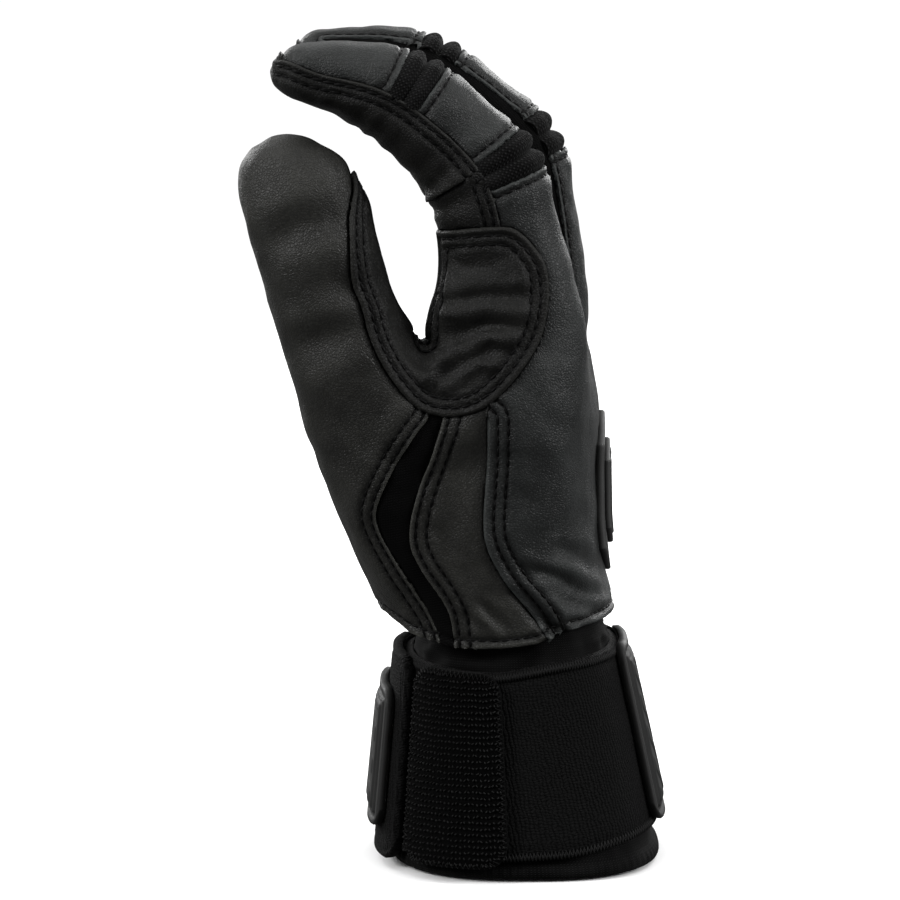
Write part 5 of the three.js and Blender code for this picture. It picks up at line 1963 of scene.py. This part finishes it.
# %% Loops
def loops(name, row_gap=1.3, gap=0.8):
    """Rows of small thread loops over a plate."""
    start, end, low, high, _, lift, thick, per_degree = PLATES[name]
    parts = []
    wide = (end - start) * per_degree
    for x in np.arange(0.8, wide - 0.5, gap):
        angle = np.array(math.radians(start + x / per_degree))
        z0, z1 = float(strap_edge(angle, 1)) + low, float(strap_edge(angle, 2)) + high
        inset = 0.9 if min(x, wide - x) > 3 else 2.4
        for z in np.arange(z0 + inset, z1 - inset, row_gap):
            jitter = rng.uniform(-0.14, 0.14, 2)
            turn = rng.choice([-0.8, 0.8]) + rng.uniform(-0.3, 0.3)
            a = math.radians(start + (x + jitter[0]) / per_degree)
            at = on_cuff(np.array(z + jitter[1]), np.array(a), ON_STRAP + lift + thick)
            near = on_cuff(np.array(z + jitter[1]), np.array(a + 0.02), ON_STRAP + lift + thick)
            along = (near - at) / np.linalg.norm(near - at)
            up = np.array([0.0, 0.0, 1.0])
            out = np.cross(along, up)
            way = along * math.cos(turn) + up * math.sin(turn)
            size = rng.uniform(0.5, 0.75)
            local = STITCH * (size, 0.16, 0.28)
            points = at + local[:, :1] * way + local[:, 1:2] * np.cross(out, way)
            parts.append(points + (local[:, 2:] * 1.4 + 0.1) * out)
    count = len(STITCH)
    verts = np.concatenate(parts)
    faces = [tuple(i * count + k for k in f) for i in range(len(parts)) for f in STITCH_FACES]
    piece("look_" + name + "_loops", verts, faces, "loops")
    print("loops on the patch:", len(parts))


loops("loop_patch")

# %% [markdown]
# ## Thread round the patch
# The patch is sewn to the strap by a thread that zigzags over its rim and follows its round
# corners.


# %% Rim thread
def overlocked(name, step=0.5, inner=1.15):
    """Thread that zigzags over the rim of a plate."""
    start, end, low, high, corner, lift, thick, per_degree = PLATES[name]
    wide = (end - start) * per_degree
    x = np.linspace(0, wide, 90)
    trim = corner_trim(np.minimum(x, wide - x), corner)
    angle = np.radians(start + x / per_degree)
    under = np.stack([x, strap_edge(angle, 1) + low + trim], -1)
    over = np.stack([x, strap_edge(angle, 2) + high - trim], -1)
    loop = np.concatenate([under, over[::-1], under[:1]])
    run = np.concatenate([[0], np.cumsum(np.linalg.norm(np.diff(loop, axis=0), axis=1))])
    at = np.linspace(0, run[-1], 2 * int(run[-1] / step / 2) + 1)
    line = np.stack([np.interp(at, run, loop[:, k]) for k in (0, 1)], -1)
    way = np.gradient(line, axis=0)
    way /= np.linalg.norm(way, axis=1, keepdims=True)
    swing = np.arange(len(line)) % 2
    line += np.stack([-way[:, 1], way[:, 0]], -1) * (0.1 + inner * swing)[:, None]
    out = ON_STRAP + lift + thick - 0.25 * (1 - swing) + 0.05
    angle = np.radians(start + line[:, 0] / per_degree)
    verts, faces = tube(on_cuff(line[:, 1], angle, out), 0.15)
    piece("look_" + name + "_rim", verts, faces, "loops")
    print("turns of the rim thread:", len(line) // 2)


overlocked("loop_patch")

# %% [markdown]
# ## Badge on the back of the hand
# The badge is two stepped layers of rubber in the form of a hexagon, bent over the back of
# the hand. The photograph shows it edge-on, so its face is a guess: a groove round the
# lower layer and plain bars on the upper one.

# %% Back badge
BADGE_HALF = 15   # half the badge's breadth
BADGE_SLANT = 0.36   # how much shorter the hexagon is at its sides


def back_badge(name, size, low, high, pattern, nodes):
    n_u, n_w = 72, 96
    u, w = np.meshgrid(np.linspace(0, 1, n_u), np.linspace(0, 1, n_w), indexing="ij")
    y = (2 * u - 1) * BADGE_HALF * size
    share = 1 - BADGE_SLANT * np.abs(2 * u - 1)
    z_mid, tall = HEM + 0.45835 * PALM_H, 0.26895 * PALM_H * size
    z = z_mid + (2 * w - 1) * tall * share
    zs = (z - HEM) / PALM_H
    rows = fine(PALM, 160, 6)
    back, palm = [np.interp(zs, rows[:, 0], rows[:, k]) * PALM_D for k in (1, 2)]
    radial, ulnar = [np.interp(zs, rows[:, 0], rows[:, k]) * PALM_B for k in (3, 4)]
    out = np.abs((2 * y - radial - ulnar) / (ulnar - radial)) ** POWER
    x = (back + palm) / 2 + (back - palm) / 2 * (1 - out) ** (1 / POWER)
    edge = np.minimum((1 - np.abs(2 * u - 1)) * BADGE_HALF * size,
                      np.minimum(w, 1 - w) * 2 * tall * share)
    dome = np.sqrt(np.clip(1 - (1 - np.clip(edge / 0.5, 0, 1))**2, 0, 1))
    lift = high - 0.5 * (1 - dome) + pattern(edge, y, z) * np.clip(edge / 0.5, 0, 1)
    top = np.stack([x + lift, y, z], -1)
    bottom = np.stack([x + low - 0.5, y, z], -1)
    count = n_u * n_w
    faces = grid_faces(n_u, n_w)
    faces += [tuple(count + k for k in f[::-1]) for f in faces]
    rim = rim_of(n_u, n_w)
    faces += [(b, a, count + a, count + b) for a, b in zip(rim, rim[1:] + rim[:1])]
    wear_and_highlight = np.exp(-(edge / 0.7)**2).ravel()
    points = np.concatenate([top.reshape(-1, 3), bottom.reshape(-1, 3)])
    piece("look_" + name, points, faces, "badge", nodes,
          np.concatenate([wear_and_highlight, 0 * wear_and_highlight]))


back_badge("back_badge", 1.0, 0.4, 1.6,
           lambda e, y, z: -0.3 * ramp(e, 1.2, 1.6) * (1 - ramp(e, 2.2, 2.6)), ("back_badge",))
back_badge("back_badge_relief", 0.66, 1.95, 2.9,
           lambda e, y, z: 0.35 * (np.abs(np.mod(y, 4.0) - 2.0) < 0.8) * ramp(e, 1.6, 2.0),
           ("back_badge_relief",))
print("pieces so far:", len(made))

# %% [markdown]
# ## Floor
# The glove stands on a plain pale floor. A white floor would light the black leather from
# below and take away its dark tones, so the floor is hidden from the rays that carry its
# light to the glove. The camera still sees it, and it still catches a shadow.

# %% Floor
FLOOR_Z, FLOOR_RADIUS = -0.0012, 80
floor_mesh = bpy.data.meshes.new("floor")
turns = np.linspace(0, 2 * math.pi, 65)[:-1]
ring = [(FLOOR_RADIUS * math.cos(a), FLOOR_RADIUS * math.sin(a), FLOOR_Z) for a in turns]
floor_mesh.from_pydata(ring, [], [tuple(range(64))])
floor = bpy.data.objects.new("floor", floor_mesh)
bpy.context.collection.objects.link(floor)
pale = Net("pale_floor", 0.9, 0.1)
pale.shader.inputs["Base Color"].default_value = (0.9, 0.9, 0.9, 1.0)
floor_mesh.materials.append(pale.mat)
floor.visible_glossy = False
floor.visible_diffuse = False
print("floor at", FLOOR_Z, "m")

# %% [markdown]
# ## Lights and sky
# Black leather shows its form by what it mirrors. Two soft lights, on the left and on the
# right, draw the edges of thumb and back, and two weaker ones lift the palm and the
# little-finger side. The sky is bright above and dim at the sides, so that upper faces come
# out light and the sides stay dark, as under a softbox. It goes by direction alone, so it
# is the same from every side.


# %% Lights and sky
def area_light(name, place, aim, size, power):
    """A round soft light; size in metres, power in watts."""
    data = bpy.data.lights.new(name, "AREA")
    data.shape, data.size, data.energy = "DISK", size, power
    obj = bpy.data.objects.new(name, data)
    bpy.context.collection.objects.link(obj)
    obj.location = place
    obj.rotation_euler = (Vector(aim) - Vector(place)).to_track_quat("-Z", "Y").to_euler()


TARGET = Vector((-0.0156, 0.0, 0.088))
area_light("left", (-1.0, -0.6, 0.65), TARGET, 0.45, 13.0)
area_light("right", (1.2, -0.4, 0.6), TARGET, 0.45, 14.0)
area_light("palm_side", (-0.75, 1.15, 0.5), TARGET, 0.7, 7.5)
area_light("little_finger_side", (0.5, 1.3, 0.6), TARGET, 0.7, 9.0)

world = bpy.data.worlds.new("studio")
world.use_nodes = True
sky = world.node_tree.nodes
rise = sky.new("ShaderNodeSeparateXYZ")
from_side = sky.new("ShaderNodeMapRange")
SKY = {"From Min": 0.25, "From Max": 0.75, "To Min": 0.19, "To Max": 1.55}
for key, value in SKY.items():
    from_side.inputs[key].default_value = value
link = world.node_tree.links.new
link(sky.new("ShaderNodeTexCoord").outputs["Generated"], rise.inputs[0])
link(rise.outputs["Z"], from_side.inputs["Value"])
link(from_side.outputs[0], sky["Background"].inputs["Strength"])
sky["Background"].inputs["Color"].default_value = (1.0, 1.0, 1.0, 1.0)
bpy.context.scene.world = world
bpy.context.scene.view_settings.view_transform = "Standard"
print("sky from", SKY["To Min"], "at the sides to", SKY["To Max"], "above")

# %% [markdown]
# ## Camera
# The photograph looks at the thumb side from a little above, with little perspective. A
# long lens a metre away does the same.

# %% Camera
RISE = math.radians(6)
camera = bpy.data.objects.new("camera", bpy.data.cameras.new("camera"))
bpy.context.collection.objects.link(camera)
camera.data.lens, camera.data.sensor_width = 181.8, 36
camera.location = TARGET + Vector((0, -math.cos(RISE), math.sin(RISE)))
camera.rotation_euler = (math.pi / 2 - RISE, 0, 0)
bpy.context.scene.camera = camera
print("camera at", tuple(round(x, 3) for x in camera.location))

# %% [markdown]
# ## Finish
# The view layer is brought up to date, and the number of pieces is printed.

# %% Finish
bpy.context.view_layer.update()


print("pieces:", len(made))
